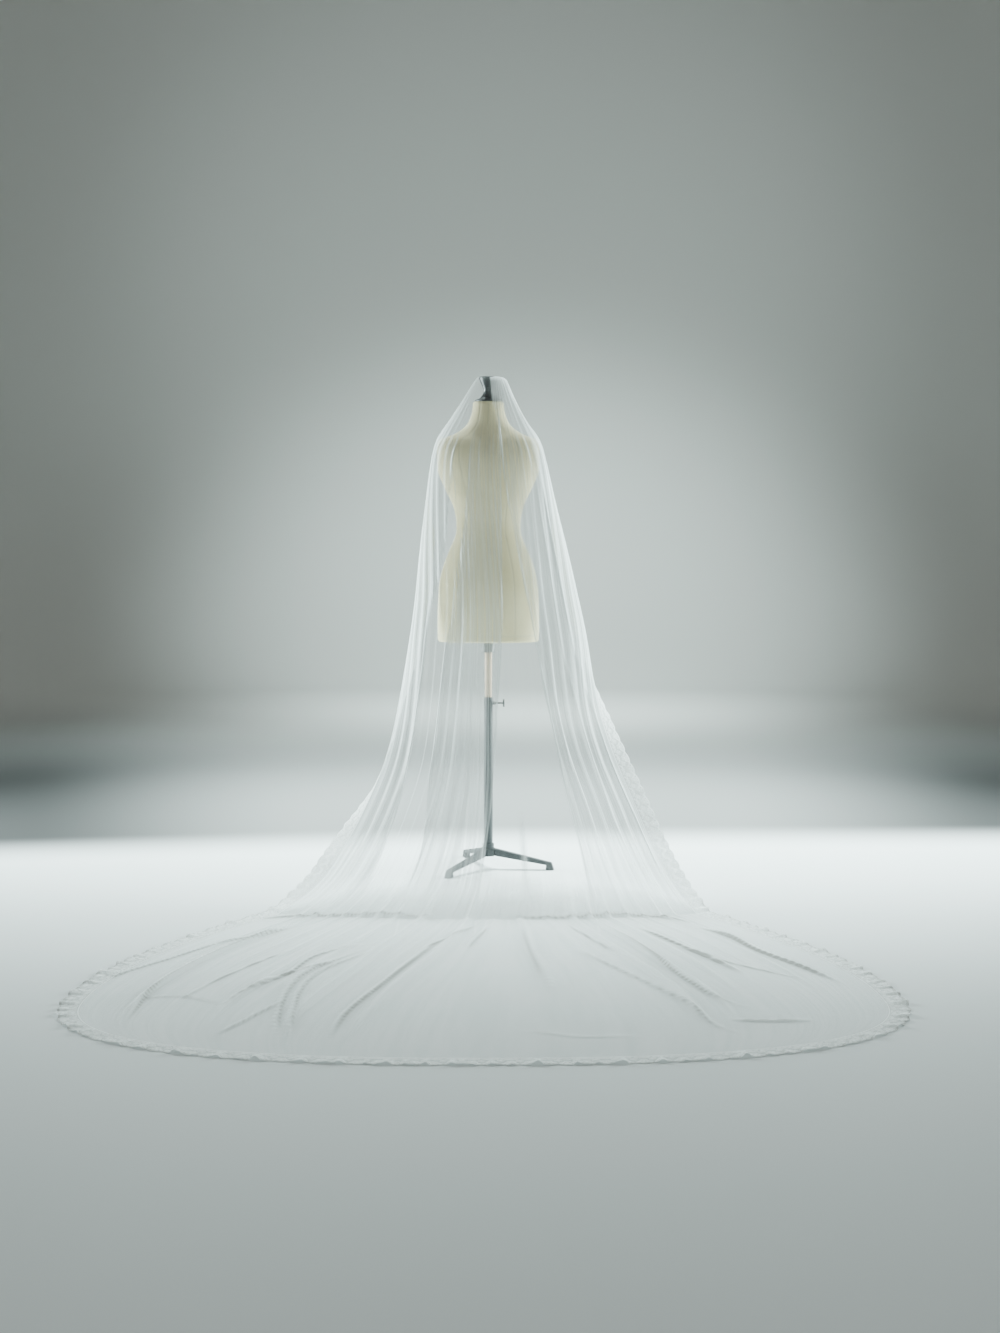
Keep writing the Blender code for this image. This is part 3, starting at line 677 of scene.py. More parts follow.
TRAIN_CREASES = crease_table("""
    0.0050 0.007 -0.305 -1.075 -0.485 -1.42 -0.502 -1.773 -0.468 -2.03
    0.0050 0.007 -0.277 -1.075 -0.455 -1.42 -0.468 -1.773 -0.438 -2.03
    0.0060 0.009 -0.116 -0.956 -0.264 -1.481 -0.344 -1.80 -0.361 -2.05
    0.0050 0.007 -0.317 -1.04 -0.475 -1.22 -0.528 -1.41 -0.624 -1.59 -0.661 -1.76
    0.0040 0.006 -0.495 -1.632 -0.637 -1.977
    0.0070 0.008 -0.510 -0.780 -0.710 -1.08 -0.840 -1.45 -0.860 -1.93
    0.0060 0.008 0.348 -0.793 0.453 -1.144 0.539 -1.481 0.606 -1.659 0.697 -1.747
    0.0050 0.008 0.240 -1.09 0.350 -1.33 0.437 -1.51 0.520 -1.71 0.575 -1.90 0.660 -1.96
    0.0060 0.008 0.440 -0.844 0.591 -1.178 0.704 -1.431
    0.0040 0.007 0.109 -0.780 0.138 -1.255 0.174 -1.51 0.186 -1.604
    0.0060 0.007 0.585 -1.824 0.700 -1.836 0.801 -1.824
    0.0035 0.006 -0.640 -1.700 -0.760 -1.62 -0.900 -1.64
    0.0070 0.010 0.594 -0.832 0.694 -0.969 0.769 -1.167 0.848 -1.318 0.946 -1.529
    0.0050 0.010 0.020 -0.765 0.262 -0.762 0.420 -0.735 0.560 -0.760 0.640 -0.860
    0.0050 0.007 -0.546 -0.86 -0.780 -1.10 -0.860 -1.233 -0.983 -1.44 -1.035 -1.66
    0.0050 0.010 -0.738 -0.790 -0.612 -0.740 -0.468 -0.735 -0.285 -0.745 -0.100 -0.800
    0.0040 0.006 -0.540 -1.120 -0.700 -1.460 -0.780 -1.700
    0.0040 0.006 -0.390 -1.250 -0.560 -1.450 -0.620 -1.560
    0.0035 0.006 0.020 -0.800 -0.040 -1.050 -0.060 -1.160
    0.0035 0.006 -0.020 -0.820 -0.120 -1.020 -0.200 -1.160
    0.0040 0.006 0.240 -0.820 0.330 -1.080 0.380 -1.200
    0.0035 0.006 0.500 -1.050 0.680 -1.300 0.860 -1.480
    0.0030 0.006 0.100 -1.900 0.220 -1.960 0.380 -1.955
""")
BACK_CREASES = crease_table("""
    0.0040 0.0045 -0.098 1.462 -0.121 1.400 -0.108 1.318
    0.0030 0.0040 -0.045 1.510 -0.055 1.400 -0.067 1.270
    0.0030 0.0040 0.040 1.510 0.055 1.400 0.078 1.225
    0.0030 0.0040 0.118 1.395 0.128 1.300 0.142 1.222
""")
CREASE_SAMPLES = 60
CREASE_ENDS = 0.25
# The painted shadow band where the train rises from the floor: how dark it is, where it lies and how wide
RISE_SHADE = 0.34
RISE_Y = -0.735
RISE_WIDTH = 0.085


def crease_lift(across, along_it, creases):
    """Soft ridges: each falls with the distance d from its line as exp(-(d / width)^2)."""
    total = np.zeros_like(across)
    for height, width, knots in creases:
        length = run_length(knots)
        at = np.linspace(0.0, length[-1], CREASE_SAMPLES)
        line = np.stack([curve(at, length, knots[:, 0]), curve(at, length, knots[:, 1])], axis=-1)
        nearest = np.full(across.shape, np.inf)
        reached = np.zeros_like(across)
        for place, (x, y) in enumerate(line):
            distance = (across - x) ** 2 + (along_it - y) ** 2
            reached = np.where(distance < nearest, place / (CREASE_SAMPLES - 1), reached)
            nearest = np.minimum(nearest, distance)
        ends = ease(reached / CREASE_ENDS) * ease((1.0 - reached) / CREASE_ENDS)
        total = total + height * ends * np.exp(-nearest / width**2)
    return total


# %% [markdown]
# ## The veil itself
# The plain surface is softened where it bends over the shoulders and onto the floor. Then the folds
# are added along its normals, and the gathering is worked out: how much wider the flat cloth is than
# the row that it is drawn into.

# %% Lines of the drape, as X at heights, seen from behind
def drape_lines(rows):
    """Lines down the fall by name. Each is given as pairs of X and height, from its top end down."""
    lines = {}
    for row in rows.split(";"):
        name, *numbers = row.split()
        x, height = np.array(numbers, float).reshape(-1, 2)[::-1].T
        lines[name] = {"x": x, "height": height}
    return lines


LINES = drape_lines("""
    mound  0.002 1.70  0.012 1.60  0.025 1.52  0.037 1.45  0.043 1.40;
    tent  -0.022 1.70  -0.034 1.60  -0.055 1.52  -0.092 1.45  -0.112 1.40;
    left  -0.115 1.47  -0.133 1.302  -0.159 1.065  -0.197 0.896  -0.223 0.667  -0.260 0.416
         -0.303 0.238  -0.364 0.080  -0.400 0.0;
    lens  -0.062 1.505  -0.065 1.267  -0.084 1.123  -0.112 0.966  -0.122 0.80;
    second  -0.058 1.50  -0.065 1.335  -0.084 1.123  -0.109 0.909  -0.134 0.80  -0.167 0.543
         -0.192 0.298  -0.206 0.158  -0.263 0.017;
    third  -0.040 1.50  -0.048 1.335  -0.061 1.066  -0.080 0.801  -0.098 0.545  -0.114 0.30
         -0.147 0.108  -0.185 0.0;
    pole  -0.030 1.50  -0.034 1.379  -0.047 0.936  -0.053 0.737  -0.058 0.483  -0.068 0.215
         -0.087 0.018;
    edge  0.037 1.538  0.040 1.42  0.043 1.133  0.043 0.802  0.030 0.609  0.016 0.347
         -0.007 0.174  -0.033 0.018;
    diagonal  0.025 1.67  0.041 1.484  0.057 1.342  0.090 1.16  0.127 0.969  0.160 0.801
         0.189 0.639  0.223 0.481  0.253 0.329  0.285 0.213  0.318 0.058  0.330 0.0;
    beside  0.050 1.471  0.080 1.267  0.121 1.066  0.164 0.866  0.212 0.638  0.255 0.45
         0.297 0.269  0.344 0.082;
    right  0.115 1.486  0.156 1.353  0.180 1.193  0.212 0.998  0.247 0.775  0.298 0.571
         0.356 0.385  0.423 0.195  0.516 0.032;
    outer  0.135 1.486  0.180 1.336  0.210 1.166  0.242 0.998  0.282 0.796  0.340 0.60
         0.401 0.413  0.478 0.235  0.561 0.052;
    slip  0.105 0.42  0.107 0.361  0.112 0.188  0.121 0.085  0.132 0.0;
    kink  -0.101 1.485  -0.122 1.403  -0.124 1.390  -0.114 1.330  -0.109 1.290;
    far_left  -1.0 1.7  -1.0 0.0;
    far_right  1.0 1.7  1.0 0.0
""")
# Extra layers of net between two lines: their names, the layers low down and high up, and the
# heights between which the one turns into the other
BANDS = (
    ("far_left", "left", 7.5, 2.2, 0.90, 1.46),
    ("second", "third", 5.0, 1.4, 1.00, 1.40),
    ("third", "pole", 4.2, 1.4, 1.00, 1.40),
    ("pole", "edge", 2.8, 0.8, 1.20, 1.50),
    ("edge", "diagonal", -0.80, -0.3, 0.90, 1.50),
    ("diagonal", "beside", 3.6, 1.0, 1.20, 1.50),
    ("beside", "right", 3.6, 1.4, 1.20, 1.50),
    ("right", "far_right", 7.0, 2.2, 1.20, 1.46),
)
# Bright lines where the net doubles over itself: name, layers, width, and the heights it spans
RIDGES = (
    ("left", 8.0, 0.0028, 0.10, 1.42),
    ("lens", 8.0, 0.0022, 0.84, 1.22),
    ("kink", 8.0, 0.0024, 1.31, 1.46),
    ("second", 9.0, 0.0026, 0.04, 1.42),
    ("third", 6.0, 0.0028, 0.06, 1.38),
    ("pole", 6.0, 0.0024, 0.30, 1.45),
    ("edge", 8.0, 0.0024, 0.04, 1.48),
    ("diagonal", 9.0, 0.0028, 0.04, 1.54),
    ("beside", 6.0, 0.0026, 0.06, 1.42),
    ("right", 6.0, 0.0028, 0.06, 1.45),
    ("outer", 7.0, 0.0030, 0.06, 1.40),
    ("slip", 5.0, 0.0080, 0.06, 0.22),
)
BAND_EDGE = 0.006
RIDGE_ENDS = 0.16


def line_at(name, height):
    """The X of a drape line at each height."""
    line = LINES[name]
    return curve(np.clip(height, line["height"][0], line["height"][-1]), line["height"], line["x"])


def extra_layers(x, height):
    """How many layers of net lie over each other beyond the first, from the bands and the ridges."""
    layers = np.zeros_like(x)
    for left, right, low, high, below, above in BANDS:
        from_left = ease((x - line_at(left, height)) / BAND_EDGE)
        from_right = ease((line_at(right, height) - x) / BAND_EDGE)
        layers += from_left * from_right * mix(low, high, ease((height - below) / (above - below)))
    return layers


def ridge_layers(x, height):
    """The bright lines: each is a bell across its line, and eases in and out at its two ends."""
    layers = np.zeros_like(x)
    for name, most, width, below, above in RIDGES:
        spans = ease((height - below) / RIDGE_ENDS + 0.5) * ease((above - height) / RIDGE_ENDS + 0.5)
        layers += most * spans * np.exp(-(((x - line_at(name, height)) / width) ** 2))
    return layers


def crown_layers(x, height):
    """Layers near the crown: many right of the knob, and few over its left half."""
    top = ease((height - 1.47) / 0.12)
    heap = mix(1.6, mix(20.0, 3.0, ease((x - 0.030) / 0.030)), ease((height - 1.57) / 0.08))
    mound = ease((x - line_at("mound", height)) / 0.008) * heap
    tent = ease((line_at("tent", height) - x) / 0.020) * mix(1.6, 0.2, ease((height - 1.52) / 0.12))
    return top * (mound + tent - 0.45)


# %% Piece: the net panel
RIDGE_LIFT = 0.0004
TRAIN_LAYERS = 2.0
LYING_LAYERS = 2.6
SHADOW_LAYERS = 4.5
TRAIN_FROM = 2.95
CREASE_HEIGHT = 0.005
SHADOW_SHIFT = 0.006


def surface_normals(grid):
    """Unit normals away from the form and up from the floor: the way down crossed with the way across."""
    return unit(np.cross(np.gradient(grid, axis=0), np.gradient(grid, axis=1)))


def on_train(stage, across, down):
    """How high the creases of the train stand at these places, and nothing above the floor."""
    return np.where(stage[:, None] > TRAIN_FROM, crease_lift(across, down, TRAIN_CREASES), 0.0)


def shape_net(stage, share):
    """The points of the net: the plain surface, with its folds and creases along the normals."""
    plain = smoothed(plain_net(stage, crest_places(stage)), 4)
    x, y, height = np.moveaxis(plain, -1, 0)
    lift, aside = fold_lift(stage, share)
    normals = surface_normals(plain)
    normals[height < 1e-4] = (0.0, 0.0, 1.0)
    lift = lift + on_train(stage, x, y)
    lift = lift + RIDGE_LIFT * ridge_layers(x, height) * ease((height - 0.02) / 0.1)
    behind = (stage[:, None] > 1.0) & (stage[:, None] < 2.6)
    lift = lift + np.where(behind, crease_lift(x, height, BACK_CREASES), 0.0)
    points = plain + lift[..., None] * normals + aside[..., None] * unit(np.gradient(plain, axis=1))
    points[..., 2] = np.maximum(points[..., 2], NET_REST)
    return points


def gathering(stage, x, y, height):
    """How many layers of net lie over each other at each point, and how dark the painted shadow is at the
    creases.
    """
    hanging = ease((height - 0.01) / 0.12)
    low = ease((0.30 - height) / 0.30) * ease((3.4 - stage) / 0.4)[:, None]
    layers = hanging * extra_layers(x, height) * ease((1.56 - height) / 0.12)
    layers = layers + ridge_layers(x, height) * np.maximum(hanging, low) + crown_layers(x, height)
    lying = on_train(stage, x, y) / CREASE_HEIGHT
    # Painted shadow: it lies on the side of a crease that is nearer to the train's end
    shadow = on_train(stage, x - np.where(x > 0.0, -SHADOW_SHIFT, SHADOW_SHIFT), y) / CREASE_HEIGHT
    shadow = np.clip(1.4 * shadow - 0.8 * lying, 0.0, 1.0)
    # A painted shadow band across the train where it rises from the floor
    rise = np.exp(-(((y - RISE_Y) / RISE_WIDTH) ** 2)) * ease((0.85 - np.abs(x)) / 0.25)
    shadow = np.minimum(shadow + RISE_SHADE * rise, 1.0)
    layers = mix(TRAIN_LAYERS, 1.0, hanging) + layers + LYING_LAYERS * lying + SHADOW_LAYERS * shadow
    return layers, shadow


def build_net():
    stage, share = stages(), np.linspace(0.0, 1.0, COLUMNS)
    points = shape_net(stage, share)
    # The map is the flat cloth in metres: across from the middle column, and down from the top row
    steps = np.linalg.norm(np.diff(points, axis=1), axis=-1)
    across = np.concatenate([np.zeros((len(points), 1)), np.cumsum(steps, axis=1)], axis=1)
    down = np.broadcast_to(run_length(points[:, COLUMNS // 2])[:, None], across.shape)
    uv = np.stack([across - across[:, -1:] / 2, down], axis=-1)
    # The second value is the painted shadow of the train's folds, kept on the mesh for the net's colour
    gather, painted_fold_shadow = gathering(stage, *np.moveaxis(points, -1, 0))
    hang = np.minimum(ease((3.15 - stage) / 0.35)[:, None] + 0.12, 1.0)
    points[..., 1] += FORM_Y
    values = {"gather": gather, "flow": share, "down": down, "painted_fold_shadow": painted_fold_shadow, "hang": hang}
    values = {label: np.broadcast_to(value, gather.shape) for label, value in values.items()}
    made = add_piece("net_panel", points, grid_faces(*gather.shape), white_net, uv, values)
    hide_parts("veil_net")
    print("layers over each other:", round(float(gather.min()), 1), "to", round(float(gather.max()), 1))
    return made, points


net_panel, net_points = build_net()

# %% [markdown]
# ## Lace
# The edging is a band of corded floral lace, 55 mm wide, with a scalloped outer edge. One repeat has
# a six-petalled flower, a small five-petalled one, and two leaves, on a ground of net. The same
# formulas draw it twice: here in numpy, to raise the petals and cords a little out of the mesh, and
# as nodes, to cut the ground open between them.

# %% The lace motif in numbers
REPEAT = 0.042
SCALLOP = 0.006
FLOWERS = table("at out size petals", "0.0 0.037 0.0125 3.0  0.5 0.021 0.0090 2.5  0.0 0.012 0.0062 2.5")
LEAVES = table("at out tilt", "0.33 0.041 0.75  0.67 0.041 -0.75  0.27 0.011 -0.9  0.73 0.011 0.9")
LEAF_LENGTH = 0.0078
LEAF_WIDTH = 0.0031
PETAL_DEPTH = 0.34
EYE = 0.22
CORD = 0.0009


def motif_height(run, out, rim):
    """The relief of the lace, from 0 on the ground to 1 on a cord, for places along and out.

    A flower's edge is size times (1 - depth + depth |cos(n angle)|), and a leaf is an ellipse.
    """

    def local(at, centre):
        return (run / REPEAT - at + 0.5) % 1.0 * REPEAT - REPEAT / 2, out - centre

    heights = [ease(1.0 - np.abs(rim - 0.002) / 0.002)]
    for at, centre, size, petals in zip(*FLOWERS.values()):
        x, y = local(at, centre)
        reach = np.hypot(x, y)
        edge = size * (1.0 - PETAL_DEPTH + PETAL_DEPTH * np.abs(np.cos(petals * np.arctan2(y, x))))
        heights += [0.55 * ease((edge - reach) / CORD), ease(1.0 - np.abs(reach - edge) / CORD)]
        heights.append(ease((EYE * size - reach) / CORD))
    for at, centre, tilt in zip(*LEAVES.values()):
        x, y = local(at, centre)
        long = (x * math.sin(tilt) + y * math.cos(tilt)) / LEAF_LENGTH
        wide = (x * math.cos(tilt) - y * math.sin(tilt)) / LEAF_WIDTH
        heights.append(0.7 * ease((1.0 - np.hypot(long, wide)) * 3.0))
    return np.maximum.reduce(heights)


# %% Group: lace motif
def build_lace_motif():
    inputs = [(label, "Float", 0.0) for label in ("Run", "Out", "Rim")]
    group, given, wanted = new_group("lace_motif", inputs, ["Cover", "Cord"])

    def local(at, centre):
        place = (given["Run"] / REPEAT + (0.5 - at)).of("FLOORED_MODULO", 1.0)
        return (place - 0.5) * REPEAT, given["Out"] - centre

    def length(x, y):
        return (x * x + y * y).of("SQRT")

    covers = []
    cords = [soft_step(given["Rim"], 0.0050, 0.0040), soft_step(given["Out"], 0.0032, 0.0024)]
    for at, centre, size, petals in zip(*(column.tolist() for column in FLOWERS.values())):
        x, y = local(at, centre)
        reach = length(x, y)
        lobes = (y.of("ARCTAN2", x) * petals).of("COSINE").of("ABSOLUTE")
        inside = lobes * (size * PETAL_DEPTH) + size * (1.0 - PETAL_DEPTH) - reach
        covers.append(soft_step(inside, -CORD, 0.0))
        cords.append(soft_step(inside.of("ABSOLUTE"), CORD, 0.2 * CORD))
        cords.append(soft_step(reach, EYE * size + CORD, EYE * size))
    for at, centre, tilt in zip(*(column.tolist() for column in LEAVES.values())):
        x, y = local(at, centre)
        wide = x * math.cos(tilt) - y * math.sin(tilt)
        long = x * math.sin(tilt) + y * math.cos(tilt)
        reach = length(long / LEAF_LENGTH, wide / LEAF_WIDTH)
        covers.append(soft_step(reach, 1.1, 0.95))
        cords.append(soft_step(wide.of("ABSOLUTE"), 0.0008, 0.0003) * soft_step(reach, 1.0, 0.8))
        cords.append(soft_step((reach - 0.95).of("ABSOLUTE"), 0.22, 0.08))
    cord = most(cords)
    feed(most([*covers, cord]), wanted["Cover"])
    feed(cord, wanted["Cord"])
    return group


lace_motif = build_lace_motif()


# %% Material: corded lace
LACE_CELL = 0.0022


def build_lace_finish():
    made, tree, shader = new_material("corded_lace", (0.88, 0.90, 0.88), 0.70, Sheen_Weight=0.25,
                                      Specular_IOR_Level=0.25)
    place = place_on_map(tree)
    run, out, _ = split_axes(place)
    drawn = use_group(tree, lace_motif, Run=run, Out=out, Rim=own_value(tree, "rim"))
    thread = use_group(tree, net_cells, Place=place, Cell=LACE_CELL)["Thread"]
    grain = noise(place, 900.0)
    alphas = [thread * 0.30 + 0.44, drawn["Cover"] * (grain * 0.30 + 0.62), drawn["Cord"] * 0.96]
    feed(most(alphas), shader["Alpha"])
    colour = blend(drawn["Cover"], (0.86, 0.88, 0.86), (0.94, 0.96, 0.94))
    colour = blend(drawn["Cord"], colour, (0.98, 0.99, 0.98))
    # The shade value paints a grey-brown shade into the lace's colour
    feed(blend(own_value(tree, "shade"), colour, (0.26, 0.24, 0.22)), shader["Base Color"])
    bumped(shader, drawn["Cord"] * 0.7 + grain * 0.3, 0.6, 0.0008)
    return made


corded_lace = build_lace_finish()

# %% [markdown]
# The band is a profile carried along the net's edge: down the left side, round the train and up the
# right side. Each station has a way out from the cloth and a way up. On the floor the outer edge is
# longer than it lies, so it ruffles, by a sum of seeded waves that grow from the join to the rim.

# %% Piece: the lace border
LACE_TOP = 1.30
LACE_CURL = math.radians(52)
LACE_CURL_LEFT = math.radians(62)
LACE_TAPER = 0.16
LACE_STEP = 0.0022
LACE_ROWS = 14
LACE_RELIEF = 0.0009
RUFFLES = table("length height", "0.157 0.0020  0.089 0.0032  0.047 0.0030  0.027 0.0012")


def build_lace():
    stage = stages()
    start = int(np.argmax((stage > 2.0) & (net_points[:, 0, 2] < LACE_TOP)))
    normals = surface_normals(net_points)
    edge = np.concatenate([net_points[start:, 0], net_points[-1, 1:-1], net_points[start:, -1][::-1]])
    ups = np.concatenate([normals[start:, 0], normals[-1, 1:-1], normals[start:, -1][::-1]])
    length = run_length(edge)
    count = int(length[-1] / LACE_STEP)
    at = np.linspace(0.0, length[-1], count)
    edge = np.stack([np.interp(at, length, axis) for axis in edge.T], axis=-1)
    ups = unit(smoothed(np.stack([np.interp(at, length, axis) for axis in ups.T], axis=-1), 60))
    high = edge[:, 2:]
    low = ease((0.05 - high) / 0.04)
    ups = unit(mix(ups, np.array([0.0, 0.0, 1.0]), low))
    outward = unit(smoothed(np.cross(np.gradient(edge, axis=0), ups), 60))
    curl_right = LACE_CURL * ease((high - BOW_BELOW) / (BOW_TOP - BOW_BELOW))
    curl = np.where(edge[:, :1] < 0, LACE_CURL_LEFT * ease((high - 0.10) / 0.30), curl_right)
    turned = unit(outward * np.cos(curl) - ups * np.sin(curl))
    outward, ups = turned, unit(ups * np.cos(curl) + outward * np.sin(curl))
    reach = LACE_WIDTH - SCALLOP * (1.0 - np.abs(np.sin(math.pi * at / REPEAT + math.pi / 2)))
    # The edging grows out of the net's side over its first few centimetres
    grown = ease(np.minimum(at, length[-1] - at) / LACE_TAPER)
    reach = reach * mix(0.12, 1.0, grown)
    shares = np.linspace(0.0, 1.0, LACE_ROWS) ** 0.9
    out = shares[:, None] * reach
    run = np.broadcast_to(at, out.shape)
    rim = reach - out
    ruffle = np.zeros(count)
    for wave_length, height in zip(*RUFFLES.values()):
        bend = 0.35 * np.sin(2.0 * math.pi * at / (wave_length * 3.7) + random.uniform(0.0, 6.3))
        ruffle += height * np.sin(2.0 * math.pi * at / wave_length + bend + random.uniform(0.0, 6.3))
    ruffle = mix(0.20, 1.0, low[:, 0]) * (ruffle + low[:, 0] * 0.0018)
    raised = LACE_RELIEF * motif_height(run, out, rim) + ruffle * shares[:, None] ** 1.3
    points = edge + out[..., None] * outward + raised[..., None] * ups
    points[..., 2] = np.maximum(points[..., 2], NET_REST)
    uv = np.stack([run, out], axis=-1)
    # Painted shade: where the ruffle dips to the floor near its rim, the colour darkens to grey brown
    shade = low[:, 0] * 0.90 * ease(1.0 - rim / 0.009) * ease(1.3 - raised / 0.005)
    faces = grid_faces(*out.shape)[:, ::-1]
    made = add_piece("lace_border", points, faces, corded_lace, uv, {"rim": rim, "shade": shade})
    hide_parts("lace_edging")
    print("lace length:", round(float(length[-1]), 2), "m, repeats:", round(float(length[-1] / REPEAT)))
    return made


lace_border = build_lace()

# %% [markdown]
# ## Linen, wood, paint and lacquer
# The form's cover is plain-woven linen: two sets of threads that cross, a little uneven. Wood has
# grain that runs along the pole. Paint on the castings is slightly pebbled, with patches of dust.

# %% Groups: weave, and speckle with wear
LINEN_THREAD = 0.0009


def build_weave():
    inputs = [("Place", "Vector", None), ("Thread", "Float", LINEN_THREAD)]
    group, given, wanted = new_group("plain_weave", inputs, ["Height", "Slub"])
    place = given["Place"]
    waves = [(axis * math.pi / given["Thread"]).of("SINE").of("ABSOLUTE") for axis in split_axes(place)[:2]]
    slubs = [noise(stretched(place, scale), 1.0, 3.0) for scale in ((60.0, 420.0, 1.0), (420.0, 60.0, 1.0))]
    uneven = slubs[0] * 0.5 + slubs[1] * 0.5
    feed(uneven * 0.6 + most(waves) * 0.7, wanted["Height"])
    feed(uneven, wanted["Slub"])
    return group


def build_speckle():
    inputs = [("Place", "Vector", None), ("Scale", "Float", 400.0)]
    group, given, wanted = new_group("speckle_and_dust", inputs, ["Pebble", "Dust"])
    dust = noise(given["Place"], given["Scale"] / 22.0, 4.0, 0.6)
    feed(noise(given["Place"], given["Scale"]), wanted["Pebble"])
    feed(soft_step(dust, 0.45, 0.75), wanted["Dust"])
    return group


plain_weave = build_weave()
speckle = build_speckle()


# %% Materials of the form and stand
def build_linen():
    made, tree, shader = new_material("cream_linen", (0.72, 0.69, 0.58), 0.90, Sheen_Weight=0.15,
                                      Specular_IOR_Level=0.2)
    place = place_on_map(tree)
    woven = use_group(tree, plain_weave, Place=place, Thread=LINEN_THREAD)
    shade = soft_step(noise(place, 9.0, 3.0) * 0.5 + woven["Slub"] * 0.5, 0.3, 0.7)
    colour = blend(shade, (0.58, 0.495, 0.30), (0.67, 0.59, 0.39))
    feed(blend(own_value(tree, "seam") * 0.45, colour, (0.42, 0.38, 0.29)), shader["Base Color"])
    bumped(shader, woven["Height"], 0.35, 0.0004)
    return made


def build_speckled(name, colour, light, roughness, metallic, scale, strength, **others):
    """Paint, metal or lacquer: a fine pebbled surface, with paler and rougher patches of dust."""
    made, tree, shader = new_material(name, colour, roughness, metallic, **others)
    marks = use_group(tree, speckle, Place=place_on_object(tree), Scale=scale)
    feed(blend(marks["Dust"] * 0.6, colour, light), shader["Base Color"])
    feed(marks["Dust"] * 0.18 + roughness, shader["Roughness"])
    bumped(shader, marks["Pebble"], strength, 0.0005)
    return made


def build_wood():
    made, tree, shader = new_material("pale_wood", (0.62, 0.50, 0.38), 0.62, Coat_Weight=0.05)
    place = place_on_object(tree)
    grain = noise(stretched(place, (260.0, 260.0, 7.0)), 1.0, 4.0, 0.6)
    pores = noise(stretched(place, (1400.0, 1400.0, 45.0)))
    feed(blend(soft_step(grain, 0.35, 0.65), (0.58, 0.44, 0.32), (0.49, 0.35, 0.24)), shader["Base Color"])
    bumped(shader, pores * 0.5 + grain, 0.2, 0.0004)
    return made


cream_linen = build_linen()
grey_paint = build_speckled("grey_paint", (0.024, 0.027, 0.029), (0.054, 0.057, 0.058), 0.48, 0.0, 650.0, 0.35)
grey_steel = build_speckled("grey_steel", (0.20, 0.20, 0.195), (0.15, 0.14, 0.125), 0.58, 1.0, 900.0, 0.10)
brown_plate = build_speckled("brown_plate", (0.24, 0.18, 0.12), (0.33, 0.26, 0.19), 0.50, 0.0, 500.0, 0.15)
black_lacquer = build_speckled("black_lacquer", (0.010, 0.011, 0.013), (0.03, 0.03, 0.032), 0.38, 0.0,
                               300.0, 0.04, Coat_Weight=0.12)
pale_wood = build_wood()

# %% [markdown]
# ## The dress form
# The torso is a loft through level sections, each a squared ellipse that is flat at the armholes. Its
# cover is cut in panels, so the seams are pressed in as shallow grooves: down the middle of the back,
# over the shoulder blades, down the sides, and at the front.

# %% Piece: the torso cover
GAP = 0.0003
FORM = table("height half_width back front", """
    0.783 0.174 0.113 0.104
    0.817 0.175 0.117 0.107
    0.924 0.173 0.121 0.107
    0.993 0.167 0.117 0.101
    1.041 0.155 0.107 0.098
    1.107 0.130 0.090 0.092
    1.148 0.113 0.083 0.087
    1.180 0.110 0.081 0.085
    1.214 0.113 0.083 0.087
    1.250 0.122 0.087 0.094
    1.300 0.146 0.094 0.108
    1.350 0.168 0.101 0.118
    1.390 0.184 0.105 0.113
    1.430 0.190 0.104 0.100
    1.458 0.186 0.097 0.088
    1.477 0.166 0.087 0.078
    1.494 0.122 0.074 0.068
    1.520 0.082 0.061 0.058
    1.553 0.062 0.054 0.053
    1.590 0.054 0.051 0.051
    1.6067 0.053 0.050 0.050
""")
FORM_SQUARENESS = 2.3
ARMHOLE_X = 0.1745
BUST = dict(height=1.335, spread=0.080, rise=0.026, size=0.062)
FORM_COLUMNS = 321
FORM_ROWS = 190
SEAM_TURNS = np.radians([0.0, 62.0, 90.0, 118.0, 180.0, 242.0, 270.0, 298.0])
SEAM_DEPTH = 0.0009
SEAM_WIDTH = 0.0022
HEM_BAND = 0.806
CAP_RINGS = (0.0, 0.5, 0.97)


def torso_point(turn, height):
    """A point of the torso, for an angle from +X and a height.

    x is the half width times the cosine to the power 2 / squareness, y is the depth times the sine
    to the same power, and the bust is a bell round its two points.
    """
    half, back, front = columns_at(FORM, height)
    power = 2.0 / FORM_SQUARENESS
    x = half * np.sign(np.cos(turn)) * np.abs(np.cos(turn)) ** power
    deep = np.sign(np.sin(turn)) * np.abs(np.sin(turn)) ** power
    y = np.where(deep > 0, front * deep, back * deep)
    for side in (-1, 1):
        away = ((x - side * BUST["spread"]) ** 2 + (height - BUST["height"]) ** 2) / BUST["size"] ** 2
        y = y + np.where(y > 0, BUST["rise"] * np.exp(-away) * y / front, 0.0)
    return np.stack([np.clip(x, -ARMHOLE_X, ARMHOLE_X), y, height + 0.0 * turn], axis=-1)


